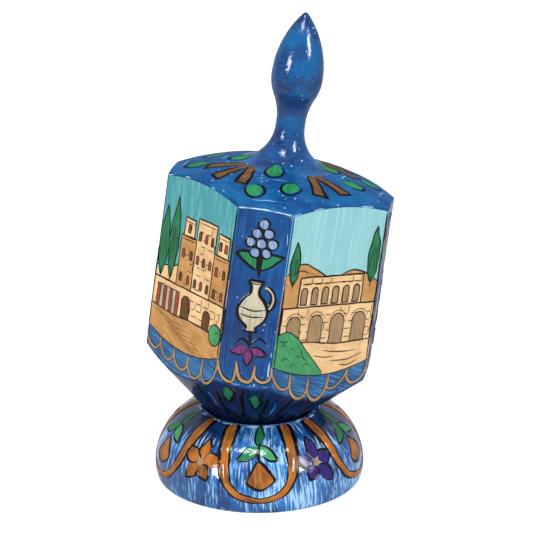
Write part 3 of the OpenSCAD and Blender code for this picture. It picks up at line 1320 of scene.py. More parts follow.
    def aqueduct(self) -> None:
        """Paint a bridge of two rows of arches before round hills."""
        self.sky(Paint.SKY_PALE)
        self.land(Paint.SAND_DEEP, [(-16, 30), (-11, 33.5), (-6, 32), (0, 29), (6, 31), (11, 30), (16, 27)])
        self.marks([(-14, 30.6), (-11, 31.8), (-8, 31)], [(3, 28.6), (6, 29.2), (9, 28.8)])
        self.cypress((12.9, 26.0, 3.6, 16.5))
        self.cypress((-13.0, 27.0, 3.0, 12.5))
        self.rise()
        self.box(Paint.SAND_PALE, (-10.4, 21.6, 20.9, 8.2))
        self.rise()
        for k in range(6):
            self.arch(Paint.GOLD, (-8.7 + 3.45 * k, 22.4, 2.0, 4.6))
        self.ink(spaced([(-10.2, 28.2), (10.3, 28.0)]), 0.34)
        self.stones((-10.2, 26.4, 20.4, 3.2), 0.9)
        self.box(Paint.SAND_PALE, (-15.0, 10.6, 30.2, 11.2))
        self.stones((-14.8, 10.8, 29.8, 10.6), 1.0)
        self.rise()
        for k in range(4):
            x = -10.8 + 7.2 * k
            self.arch(Paint.GOLD, (x, 10.8, 4.4, 8.6), 0.46)
            self.ink(oval(x, 17.2, 3.0, 3.1, start=0.35, sweep=2.45), 0.32)
        self.rise()
        self.land(Paint.SAND_PALE, [(-16, 11.4), (-6, 12.2), (4, 11.2), (16, 11.8)])
        self.marks([(0, 9.6), (5, 8.8), (11, 9.0)], [(3, 6.6), (8, 6.4), (13.4, 8)],
                   [(-3, 8.2), (1, 7.6), (4, 7.8)], [(6, 5.2), (9, 5.0), (12, 6.2)])
        bank = [(-16, 14.4), (-12.5, 15.4), (-9, 13.6), (-6, 10.4), (-3, 7.4), (0.8, 3.2), (1, 0)]
        self.land(Paint.LEAF_PALE, bank, 0.5, 0.7)
        self.tufts((-13.2, 11.4), (-10.4, 10.2), (-12.2, 7.6), (-8.0, 8.0), (-5.2, 5.6), (-9.4, 5.8))
        self.marks([(-14.6, 13.4), (-13, 12.6), (-12.2, 13.2)], [(-7.2, 10.2), (-6.4, 8.2), (-4.8, 7.0)],
                   width=0.4)

    def hill_town(self) -> None:
        """Paint stacked flat-roofed houses beside tall trees."""
        self.sky(Paint.SKY_DEEP)
        self.land(Paint.SAND_PALE, [(-16, 22), (-8, 24), (0, 27), (8, 29), (16, 27)])
        for plot in ((-13.4, 18.5, 4.2, 20.5), (-9.2, 18.5, 4.0, 24.0)):
            self.cypress(plot)
        pale, deep = Paint.SAND_PALE, Paint.SAND_DEEP
        for paint, plot, rows, columns in (
                (deep, (-6.2, 18.6, 6.6, 14.6), 2, 2), (pale, (0.4, 18.6, 8.2, 20.6), 3, 3),
                (deep, (8.6, 18.6, 6.6, 13.4), 2, 2), (pale, (-5.2, 33.2, 4.4, 4.8), 1, 1),
                (pale, (9.6, 32.0, 4.8, 5.6), 1, 2)):
            self.house(paint, plot, rows, columns)
        self.rise(2)
        self.box(Paint.SAND_PALE, (-16, 11.0, 32, 8.4))
        self.stones((-3.4, 11.4, 18.6, 7.6), 0.95)
        self.rise()
        self.awning((-13.6, 11.2, 9.6, 6.6), 7)
        self.arch(Paint.BROWN, (-0.8, 11.2, 3.6, 6.4), 0.46)
        self.arch(Paint.BROWN, (8.6, 11.2, 3.0, 5.2), 0.46)
        self.rise()
        self.land(Paint.SAND_DEEP, [(-16, 12.0), (-6, 11.2), (4, 11.6), (16, 10.8)], slant=1.1)
        for k in range(7):
            y = 10.4 - 1.05 * k
            furrow = [(-13.5 + 2.3 * k, y + 0.6), (-6 + 2.2 * k, y - 1.0), (0.5 + 2 * k, y - 0.8)]
            self.line(Paint.BROWN, flowing(furrow), 0.26)
        self.rise()
        self.tree(Paint.LEAF_PALE, (13.2, 11.4, 5.0, 5.4))

    def palms(self) -> None:
        """Paint palm trees by a round well."""
        self.sky(Paint.SKY_PALE)
        self.land(Paint.SAND_DEEP, [(-16, 22), (-9, 26), (-3, 23), (4, 25), (10, 28.5), (16, 25)])
        self.marks([(-12, 23), (-9, 24.2), (-6, 23)], [(6, 25), (9, 26.4), (12, 25)])
        self.land(Paint.SAND_PALE, [(-16, 18), (-4, 19), (6, 17.4), (16, 18.4)])
        for x, top, bend in ((-9.0, 38.0, 1.8), (-3.6, 30.5, -0.8), (10.6, 35.5, -1.8)):
            self.palm(x, top, bend)
        self.rise()
        self.box(Paint.SAND_PALE, (-0.4, 10, 8.0, 5.4))
        self.stones((-0.3, 10.2, 7.8, 5.0), 0.9)
        self.rise()
        self.outlined(Paint.BROWN, oval(3.6, 15.5, 4.0, 1.3), 0.42, 0.08)
        self.rise()
        bank = [(-16, 10.6), (-10, 12), (-4, 9.4), (0, 7.6), (8, 8), (16, 10.4)]
        self.land(Paint.LEAF_PALE, bank, 0.5, 0.9)
        self.tufts((-13, 8.6), (-9, 8), (-5, 6.2), (4, 5.2), (9, 6.6), (13, 7.6))

    def terraces(self) -> None:
        """Paint terraced hills with rows of round trees and one small house."""
        self.sky(Paint.SKY_DEEP)
        self.land(Paint.SAND_PALE, [(-16, 27), (-10, 31), (-4, 33.5), (2, 32), (9, 28), (16, 26.5)])
        self.house(Paint.SAND_PALE, (-7.4, 31.0, 6.6, 7.4), 1, 2)
        self.cypress((2.2, 29.6, 3.2, 11.4))
        self.rise()
        levels = (27.0, 22.0, 17.0, 12.0)
        for row, height in enumerate(levels):
            paint, tilt = (Paint.SAND_PALE, 1.4) if row % 2 else (Paint.SAND_DEEP, -1.2)
            self.land(paint, [(-16, height - tilt), (-6, height + 0.8), (5, height), (16, height + tilt)])
            strokes = ([(-14 + 5 * k, height - 2.0), (-12 + 5 * k, height - 1.7)] for k in range(6))
            self.marks(*strokes, width=0.26)
        self.land(Paint.LEAF_PALE, [(-16, 8), (-8, 9.4), (2, 7.6), (9, 9), (16, 8)], 0.5, 0.9)
        self.tufts((-12, 7.2), (-7, 7.4), (-2, 6.0), (4, 5.6), (9, 7.0), (12.6, 7.0))
        for row, height in enumerate(levels):
            for k in range(5):
                x = -12.6 + 6.1 * k + (1.4 if row % 2 else 0)
                self.tree(Paint.LEAF if (k + row) % 2 else Paint.LEAF_PALE, (x, height + 0.7, 3.6, 3.5))


class Charm(Enum):
    """The small figures in the middle of the chamfer faces, with the number of the side that each is on."""

    JUG = 0
    CANDLE = 2
    BOWL = 4
    LAMP = 6


class ChamferMotifs(Brush):
    """A column of three small figures on one chamfer face: a sprig, a cream figure and a bud."""

    sprig_up = 37.6
    bud_at = (0.4, 9.4)
    stroke_level = 0.004

    def __init__(self, form: DreidelForm, charm: Charm) -> None:
        """Take the form and the middle figure."""
        super().__init__(WallChart(form, charm.value), 1000 + 100 * charm.value)
        self.charm = charm

    def strokes(self) -> None:
        """Darken the ground with long upright strokes of painted shade low beside the left edge, and paint
        wear and a painted highlight on the right edge.
        """
        rng = random.Random(self.seed)
        self.level = self.stroke_level
        # Painted shade: long dark strokes low on the left of the chamfer
        for k in range(15):
            x = -6.5 + 0.62 * k + rng.uniform(-0.15, 0.15)
            foot, top = rng.uniform(0.8, 4.0), 33.0 - 1.5 * k + rng.uniform(-5.0, 5.0)
            path = spaced([(x, foot), (x + rng.uniform(-0.4, 0.4), top)])
            self.line(Paint.SIDE_NAVY, path, 1.1, taper=0.9, shake=0.25)
        # Pale strokes on the right edge: wear and painted highlight
        for foot, top, width in ((2.6, 7.4, 0.55), (8.4, 9.9, 0.3), (38.6, 42.0, 0.3)):
            self.line(Paint.WORN_BLUE, spaced([(6.35, foot), (6.3, top)]), width, taper=0.8, shake=0.2)

    def paint(self) -> None:
        """Paint the column over its darker strokes."""
        self.strokes()
        middle = {Charm.JUG: self.jug, Charm.CANDLE: self.candle, Charm.BOWL: self.bowl,
                  Charm.LAMP: self.lamp}[self.charm]
        sprig = self.grapes if self.charm in (Charm.JUG, Charm.BOWL) else self.pomegranate
        for figure in (sprig, middle, self.bud):
            self.level = GROUND
            figure()

    def bold(self, path: Path, width: float = 0.9) -> None:
        """Draw one thick stroke of a flat brush in ink."""
        self.ink(flowing(path), 1.3 * width, taper=0.75, nib=0.4)

    def leaves(self, paint: Paint, spread: float) -> None:
        """Paint a pair of leaves that rise from the sprig's stalk.

        Args:
            paint: Their colour.
            spread: How far each leans from upright.
        """
        for side in (-1, 1):
            blade = leaf(0.3 * side, self.sprig_up - 6.4, 7.0, 3.2, QUARTER - side * spread, 0.14 * side)
            self.outlined(paint, blade, 1.15, 0.25, nib=0.55)

    def grapes(self) -> None:
        """Paint a bunch of lilac grapes over two leaves."""
        y = self.sprig_up
        self.leaves(Paint.LEAF, math.radians(56))
        self.bold([(0.5, y - 8.6), (0.0, y - 5.0), (0.2, y - 1.2)], 1.0)
        self.rise(1.5)
        for a, b in ((0, 5.6), (-1.5, 3.1), (1.5, 3.2), (-2.9, 0.6), (0.0, 0.5), (2.9, 0.7), (-1.4, -2.0),
                     (1.5, -2.0)):
            self.outlined(Paint.LILAC, oval(a, y + b, 1.35, 1.3), 0.75, 0.2, nib=0.45)

    def pomegranate(self) -> None:
        """Paint a crowned red fruit over two leaves."""
        y = self.sprig_up
        self.leaves(Paint.LEAF_PALE, math.radians(60))
        self.bold([(-0.4, y - 8.6), (0.0, y - 3.5)], 0.9)
        self.rise(1.5)
        self.outlined(Paint.BRICK, oval(0.0, y + 0.6, 3.6, 3.4), 0.8, 0.2, nib=0.5)
        self.rise()
        crown = [(-1.1, 3.4), (-1.8, 6.2), (-0.5, 5.0), (0.0, 6.6), (0.6, 5.0), (1.9, 6.1), (1.1, 3.4)]
        self.outlined(Paint.BRICK, spaced([(a, y + b) for a, b in crown], closed=True, step=0.4), 0.5, 0.08,
                      nib=0.4)
        self.line(Paint.GOLD, oval(-0.4, y + 0.6, 1.9, 2.0, start=1.9, sweep=1.6), 0.5)

    def jug(self) -> None:
        """Paint a cream oil jug with a slim neck and one handle."""
        handle = oval(2.5, 23.6, 2.5, 3.0, start=-1.3, sweep=2.9)
        self.ink(handle, 2.0, taper=0.2)
        self.rise()
        self.line(Paint.CREAM, handle, 0.9, taper=0.2)
        self.rise()
        half = [(1.7, 14.6), (1.2, 15.8), (3.0, 17.6), (3.8, 20.2), (2.8, 22.9), (1.3, 24.6), (1.2, 26.6),
                (2.0, 28.2)]
        outline = flowing(half) + flowing([(-a, b) for a, b in reversed(half)])
        self.outlined(Paint.CREAM, spaced(outline, closed=True, step=0.5), 1.1, 0.2, nib=0.5)
        self.bold([(-3.4, 20.9), (0, 20.2), (3.6, 20.9)], 0.6)
        self.bold([(-3.2, 19.0), (0, 18.4), (3.2, 19.0)], 0.5)
        self.bold([(-1.6, 27.7), (0, 27.3), (1.7, 27.7)], 0.5)
        self.rise(0.4)
        self.line(Paint.LILAC, flowing([(-1.7, 23.0), (-2.3, 21.6), (-2.5, 21.2)]), 0.7)

    def candle(self) -> None:
        """Paint a cream candle with a gold flame in a low holder."""
        shaft = spaced([(-1.5, 17), (1.5, 17), (1.4, 24.4), (-1.4, 24.8)], closed=True)
        self.outlined(Paint.CREAM, shaft, 0.7, 0.1, nib=0.4)
        self.outlined(Paint.OCHRE, leaf(0.0, 25.2, 4.2, 2.2, QUARTER), 0.6, 0.1, nib=0.4)
        self.rise()
        dish = [(-4.0, 17.6), (-2.8, 15.2), (0, 14.4), (2.8, 15.2), (4.0, 17.6), (0, 17.0)]
        self.outlined(Paint.GOLD, flowing(dish, closed=True), 0.8, 0.1, nib=0.5)

    def bowl(self) -> None:
        """Paint a cream footed bowl with a band."""
        foot = spaced([(-0.7, 18.4), (-2.3, 15.0), (2.3, 15.0), (0.7, 18.4)], closed=True)
        self.outlined(Paint.CREAM, foot, 0.7, 0.1, nib=0.4)
        self.rise()
        cup = [(-4.1, 24.4), (-3.5, 20.6), (-1.3, 18.2), (1.3, 18.2), (3.5, 20.6), (4.1, 24.4), (0, 23.9)]
        self.outlined(Paint.CREAM, flowing(cup, closed=True), 0.8, 0.12, nib=0.5)
        self.bold([(-3.4, 21.6), (0, 20.8), (3.4, 21.6)], 0.6)

    def lamp(self) -> None:
        """Paint a cream clay lamp with a small flame at its spout."""
        self.outlined(Paint.OCHRE, leaf(4.2, 20.8, 4.2, 2.1, QUARTER), 0.6, 0.1, nib=0.4)
        self.rise()
        body = [(-3.8, 20.4), (-2.7, 17.6), (0.6, 16.6), (3.3, 18.4), (4.8, 20.8), (3.0, 20.9), (0, 22.4)]
        self.outlined(Paint.CREAM, flowing(body, closed=True), 0.8, 0.12, nib=0.5)
        self.bold([(-3.0, 19.6), (0, 19.0), (2.8, 19.6)], 0.6)

    def bud(self) -> None:
        """Paint a magenta bud of three petals that hangs from a thin stalk."""
        x, y = self.bud_at
        for aim in map(math.radians, (-158, -90, -22)):
            petal = leaf(x + 0.4 * math.cos(aim), y + 1.0 + 0.4 * math.sin(aim), 4.6, 2.3, aim)
            self.outlined(Paint.MAGENTA, petal, 0.85, 0.25, gap=0.12, nib=0.5)
        self.rise()
        self.bold([(x - 0.3, y + 5.6), (x + 0.1, y + 2.6), (x, y + 0.6)], 0.8)
        self.bold([(x, y + 1.4), (x + 2.2, y + 3.6), (x + 4.6, y + 2.4)], 0.7)
        self.bold([(x, y + 1.4), (x - 2.0, y + 3.0), (x - 4.2, y + 1.2)], 0.7)


class Count(Enum):
    """How many bars mark each side of the game, with the number of the side that they stand over."""

    ONE = 5
    TWO = 1
    THREE = 7
    FOUR = 3


class TopMarks(Brush):
    """Fans of one to four brown bars over the large faces, with green drops between them."""

    bars_r = 15.6
    drops_r = 18.0

    def __init__(self, form: DreidelForm) -> None:
        """Take the form to paint on."""
        super().__init__(DomeChart(form, 0.0, self.drops_r), 3000)
        self.pen = Paint.DOME_INK

    def paint(self) -> None:
        """Paint each fan of bars, and the drops and pale strokes of painted glint over each chamfer face."""
        for number, count in enumerate(Count, 1):
            self.chart = DomeChart(self.form, count.value * EIGHTH - QUARTER, self.bars_r)
            self.level = GROUND
            for k in range(number):
                aim = math.radians(-90 + 40 * (k - (number - 1) / 2))
                bar = moved([(0.0, -0.8), (9.4, -2.0), (10.6, 1.4), (0.0, 1.1)],
                            2.2 * math.cos(aim), 5.4 + 2.2 * math.sin(aim), aim)
                self.outlined(Paint.BROWN, spaced(bar, closed=True, step=0.5), 1.2, 0.35, gap=0.12, nib=0.35)
        for number in range(0, 8, 2):
            self.chart = DomeChart(self.form, number * EIGHTH - QUARTER, self.drops_r)
            side = 1 if number % 4 == 0 else -1
            self.level = 0.0
            # Pale thin strokes on the dome: painted glints
            for x, y, size in ((-1.2, -8.2, 3.2), (0.6, 2.2, 2.4), (-7.0, 3.4, 2.2)):
                glint = flowing([(side * (x - size), y - 0.5), (side * x, y), (side * (x + size), y + 0.3)])
                self.line(Paint.WORN_BLUE, glint, 0.24, taper=0.95, shake=0.3)
            for x, y, tilt in ((-4.7, -4.3, 0.3), (-1.4, 6.6, -0.2), (4.2, -0.8, -0.4)):
                self.level = GROUND
                self.area(Paint.DOME_LEAF, oval(x * side, y, 2.0, 2.7, tilt * side), 0.35)
                self.rise(0.3)
                rim = oval(x * side + 0.2, y - 0.2, 2.4, 3.1, tilt * side, start=1.9 + tilt, sweep=5.6)
                self.line(self.pen, rim, 1.0, taper=0.7, shake=0.35, nib=0.3)


class StemShade(Brush):
    """A darker wash of painted shade round the lower half of the grip."""

    foot_drop = 9.9
    wash_level = 0.014

    def __init__(self, form: DreidelForm) -> None:
        """Take the form to paint on."""
        super().__init__(StemChart(form, -QUARTER), 7000)

    def paint(self) -> None:
        """Paint the wash, lowest at the front and right, with a ragged upper border."""
        rng = random.Random(9)
        reach, middle = math.pi * self.form.grip_r + 0.2, self.form.grip_mid
        lower, upper = [], []
        for across in (reach - 2 * reach * i / 40 for i in range(41)):
            turn = across / self.form.grip_r
            drop = 1.3 + 2.7 * math.cos(turn) + 1.8 * math.sin(turn)
            upper.append((across, middle - drop + rng.uniform(-0.7, 0.7)))
            lower.append((-across, middle - self.foot_drop + rng.uniform(-0.4, 0.4)))
        self.level = self.wash_level
        self.area(Paint.STEM_NAVY, flowing(lower) + flowing(upper), 0.2, grid=0.9)


class Trim(Brush):
    """The blue band under the pictures and the gold scallops that hang along it."""

    band_level, foot_level = 0.02, 0.022
    # Shares of the upper and lower edges that get pale strokes of wear and painted highlight
    worn_share, foot_share = 0.35, 0.8
    scallops = ((Paint.INK, 1.6, 0.035), (Paint.GOLD, 1.15, 0.055))

    def __init__(self, form: DreidelForm) -> None:
        """Take the form to paint on."""
        super().__init__(WallChart(form, 0), 4000)

    def paint(self) -> None:
        """Paint all eight sides."""
        for number in range(8):
            self.chart = WallChart(self.form, number)
            self.large = number % 2 == 1
            wide = self.wide = self.chart.half + 0.1
            if self.large:
                self.level = self.band_level
                stops = [-wide + 2 * wide * i / 40 for i in range(41)]
                lower = [(x, self.chart.bottom(x) + self.form.edge_set + 0.1) for x in stops]
                upper = [(x, self.line_at(x)) for x in reversed(stops)]
                self.area(Paint.BAND_BLUE, lower + upper, 0.05, slant=1.3)
                self.face_edge_wear_and_highlight()
            else:
                self.chamfer_edge_wear_and_highlight()
            self.foot_wear_and_highlight()
            loops = 5 if self.large else 3
            for k in range(loops):
                self.loop(-wide + 2 * wide * (k + 0.5) / loops, wide / loops)

    def chamfer_edge_wear_and_highlight(self) -> None:
        """Paint the whole upper edge pale as wear and painted highlight, with a pale spot of the same at its
        right corner.
        """
        self.level = 0.0
        edge = self.beside(self.chart.top, -0.32, -self.wide, self.wide)
        self.line(Paint.WORN_BLUE, edge, 0.5, taper=0.3, shake=0.15, swell=self.pale_edge_width)
        corner = oval(self.wide - 1.3, self.chart.top(self.wide) - 0.8, 1.1, 0.42, -0.5)
        self.area(Paint.WORN_BLUE, corner, 0.25, grid=0.8)

    @staticmethod
    def beside(edge: Callable[[float], float], apart: float, start: float, stop: float) -> list[Pair]:
        """Follow an edge of the side at a distance above it, between two places across."""
        return [(x, edge(x) + apart) for x, _ in spaced([(start, 0.0), (stop, 0.0)], step=0.4)]

    def face_edge_wear_and_highlight(self) -> None:
        """Paint a share of the upper edge pale in short strokes, as wear and painted highlight."""
        rng = random.Random(self.seed + round(10 * self.wide))
        self.level = 0.0
        start = -self.wide
        while start < self.wide - 1.0:
            stop = min(self.wide, start + rng.uniform(1.5, 4.5))
            if rng.random() < self.worn_share:
                edge = self.beside(self.chart.top, -0.32, start, stop)
                self.line(Paint.WORN_BLUE, edge, rng.uniform(0.16, 0.4), taper=0.8, shake=0.12)
            start = stop + rng.uniform(0.1, 0.8)

    def foot_wear_and_highlight(self) -> None:
        """Paint the lower edge pale in thin short strokes, as wear and painted highlight."""
        rng = random.Random(self.seed + round(20 * self.wide))
        self.level = self.foot_level
        start = -self.wide
        while start < self.wide - 1.5:
            stop = min(self.wide - 0.2, start + rng.uniform(2.0, 7.0))
            if rng.random() < self.foot_share:
                edge = self.beside(self.chart.bottom, 0.75, start, stop)
                self.line(Paint.EDGE_BLUE, edge, rng.uniform(0.25, 0.5), taper=0.9, shake=0.2)
            start = stop + rng.uniform(0.3, 2.0)

    @staticmethod
    def pale_edge_width(share: float) -> float:
        """Give how wide a pale edge of wear and painted highlight is at a share of its length, as a part of
        its full width.
        """
        return 0.62 + 0.38 * math.sin(23 * share) * math.sin(7 * share + 0.6)

    def loop(self, middle: float, half: float) -> None:
        """Paint one hanging loop as a thin dark stroke with a gold one over it.

        Args:
            middle: Its middle.
            half: Half its width.
        """
        rng = random.Random(int(1000 * middle) + self.seed)
        hang = (5.6 if self.large else 4.4) * rng.uniform(0.72, 1.2)
        shift, reach, tilt = rng.uniform(-0.9, 0.9), rng.uniform(0.94, 1.08), rng.uniform(-0.7, 0.7)
        path = []
        for turn in (math.pi * (i / 24) for i in range(25)):
            x = middle + shift * math.sin(turn) - half * reach * math.cos(turn)
            x = min(max(x, -self.wide), self.wide)
            drop = 0.3 + tilt * math.cos(turn) + hang * math.sin(turn) ** 0.72
            path.append((x, self.line_at(x) - drop))
        swell = rng.uniform(0.9, 1.1)
        for paint, width, self.level in self.scallops:
            self.line(paint, path, width * swell, taper=0.35, shake=0.3, nib=0.25)
            self.seed -= 1
        self.seed += 3

    def line_at(self, across: float) -> float:
        """Give the height of the line that the scallops hang from."""
        return 6.1 - (3.3 if self.large else 0.6) * max(0.0, 1 - (across / self.wide) ** 2)


class PointLeaves(Brush):
    """Green leaves and dark brush strokes on the cone under the body, and wide dark strokes of painted shade
    near its point.
    """

    radius = 21.0

    def __init__(self, form: DreidelForm) -> None:
        """Take the form to paint on."""
        super().__init__(ConeChart(form, 0.0, self.radius), 5000)

    def paint(self) -> None:
        """Paint a pair of leaves under each chamfer face and strokes between the pairs."""
        for number in range(8):
            self.chart = ConeChart(self.form, number * EIGHTH - QUARTER, self.radius)
            self.level = GROUND
            if number % 2 == 0:
                self.ink(flowing([(0.2, 10.0), (0.0, 3), (0.3, -6)]), 1.2, nib=0.3)
                for side, tip in ((-1, 10.2), (1, 8.0)):
                    blade = leaf(2.6 * side, tip, 9.8, 2.6, math.radians(-90 + 6 * side))
                    self.outlined(Paint.LEAF, blade, 1.1, 0.2, gap=0.15, nib=0.3)
            for side in (-1, 1):
                self.ink(flowing([(5.4 * side, 6.6), (5.9 * side, 0), (5.4 * side, -7)]), 1.3, nib=0.3)
            self.line(Paint.BAND_BLUE, flowing([(8.0, 4.0), (8.2, 0), (8.1, -4)]), 0.8)
            # Wide dark strokes from the point: painted shade where the cone sits in the stand's cup
            self.level = 0.0
            for aside, high in ((-5.5, -2.6), (0.0, -4.2), (5.5, -1.4)):
                shade_flame = flowing([(aside, -12.0), (aside + 0.5, -7.5), (aside, high)])
                self.line(Paint.CUP_NAVY, shade_flame, 6.0, taper=0.9, shake=0.6)


class StandGarland(Brush):
    """The ornament round the stand: ochre ribbons from the lip, and flowers and sprigs between them."""

    bays = 5
    violet_bays = (0, 2)
    ribbon = 3.3
    wash_level, sprig_level, ribbon_level, flower_level = 0.015, 0.048, 0.05, 0.052

    def __init__(self, form: StandForm, start: float) -> None:
        """Take the form and the turn of the first flower."""
        super().__init__(StandChart(form, start), 6000)

    def swag(self, middle: float, aside: float) -> list[Pair]:
        """Draw one ribbon that hangs from the lip in a deep bow.

        Args:
            middle: The bow's middle.
            aside: How far it is moved across its course, in half widths.

        Returns:
            The places along it.
        """
        half = [(-11.6, 22.0), (-11.2, 17.5), (-10.6, 12.0), (-9.4, 6.4), (-6.2, 2.2)]
        course = flowing(half + [(0.0, 0.6)] + [(-x, y) for x, y in reversed(half)])
        found = []
        for i, (x, y) in enumerate(course):
            a, b = course[max(i - 1, 0)]
            c, d = course[min(i + 1, len(course) - 1)]
            shift = aside * 1.55 * self.fullness(i / len(course)) / math.hypot(c - a, d - b)
            found.append((x - (d - b) * shift + middle, min(y + (c - a) * shift, 22.1)))
        return found

    @staticmethod
    def fullness(share: float) -> float:
        """Give the ribbon's width at a share of its length, as a part of its full width."""
        return 0.42 + 1.3 * abs(2 * share - 1) ** 1.6

    @staticmethod
    def edging(share: float) -> float:
        """Give the width of the ribbon's dark edge at a share of its length."""
        return 0.5 + 1.5 * abs(2 * share - 1) ** 1.6

    def paint(self) -> None:
        """Paint the ribbons, the washes, the flowers and the sprigs."""
        bay = TURN * self.form.stand_r / self.bays
        self.lip_wear_and_highlight()
        for k in range(self.bays):
            flower_x, ribbon_x = bay * k, bay * (k + 0.5)
            violet = k in self.violet_bays
            self.level = GROUND
            for side, width in ((-1, 1.3), (1, 1.0)):
                self.line(Paint.INK, self.swag(ribbon_x, side), width, taper=0.0, shake=0.3, nib=0.25,
                          swell=self.edging)
            self.level = self.ribbon_level
            self.line(Paint.OCHRE, self.swag(ribbon_x, 0.0), self.ribbon, taper=0.0, shake=0.25,
                      swell=self.fullness)
            self.level = self.wash_level
            self.shoulder(flower_x, 2.0 if violet else -9.0, 9.0, k)
            if k < self.bays - 1:
                self.shoulder(ribbon_x, -9.5, 9.5, 10 + k)
            self.level = self.flower_level
            self.flower(flower_x, Paint.VIOLET if violet else Paint.OCHRE, 0.3 * k)
            self.level = self.sprig_level
            self.sprig(ribbon_x)
            self.level = self.sprig_level
            self.pod(ribbon_x + 0.5, 10.4)

    def shoulder(self, x: float, left: float, right: float, seed: int) -> None:
        """Wash the wood dark from the lip down, with a border of ragged brush ends.

        Args:
            x: The middle of the bay.
            left: Where the wash starts, beside the middle.
            right: Where it ends.
            seed: Which hand's unevenness it has.
        """
        rng = random.Random(700 + seed)
        ends = []
        aside, deep = left, False
        while aside < right:
            ends.append((x + aside, rng.uniform(9.5, 13.0) if deep else rng.uniform(14.0, 18.0)))
            aside, deep = aside + rng.uniform(0.5, 1.1), not deep
        border = spaced([*ends, (x + right, 22.0), (x + left, 22.0)], closed=True)
        self.area(Paint.STAND_NAVY, border, 0.2, grid=0.9)

    def lip_wear_and_highlight(self) -> None:
        """Paint the lip of the cup pale in short strokes, as wear and painted highlight."""
        rng = random.Random(71)
        start, last = 0.0, TURN * self.form.stand_r - 8.0
        while start < last:
            stop = start + rng.uniform(3.0, 8.0)
            stroke = spaced([(start, 21.7), (stop, 21.8)])
            self.line(Paint.STAND_WORN, stroke, rng.uniform(0.3, 0.7), taper=0.9, shake=0.35)
            start = stop + rng.uniform(1.0, 7.0)

    def pod(self, x: float, y: float) -> None:
        """Paint a small ochre pod that hangs under the leaves."""
        shell = moved([(-0.3, 0.6), (-2.3, -2.0), (-3.6, -5.2), (0.0, -6.8), (3.8, -4.6), (2.2, -1.6)], x, y)
        self.outlined(Paint.OCHRE, flowing(shell, closed=True), 1.1, 0.3, nib=0.5)

    def flower(self, x: float, paint: Paint, turn: float) -> None:
        """Paint an open flower of five petals with a gold eye.

        Args:
            x: Its middle.
            paint: The petals' colour.
            turn: How far it is turned.
        """
        y = 9.0
        for k in range(5):
            aim = turn + QUARTER + TURN * k / 5
            petal = leaf(x + 0.8 * math.cos(aim), y + 0.8 * math.sin(aim), 6.6 - (k % 3), 3.9, aim)
            self.outlined(paint, petal, 1.1, 0.4, gap=0.3 if k % 2 else 0.1, nib=0.5)
        self.rise(1.2)
        self.area(Paint.GOLD, oval(x, y, 1.0, 1.0), 0.1, grid=0.8)

    def sprig(self, x: float) -> None:
        """Paint three leaves on a short stalk.

        Args:
            x: Its middle.
        """
        y = 15.0
        for turn, size, paint in ((-148, 7.4, Paint.LEAF), (-34, 7.0, Paint.LEAF_PALE),
                                  (82, 7.4, Paint.LEAF)):
            self.outlined(paint, leaf(x, y, size, 3.3, math.radians(turn)), 1.1, 0.3, gap=0.12, nib=0.5)
        self.rise(0.3)
        self.ink(flowing([(x + 0.6, y + 1.6), (x, y - 1.6), (x + 0.3, y - 4.6)]), 1.3, nib=0.4)


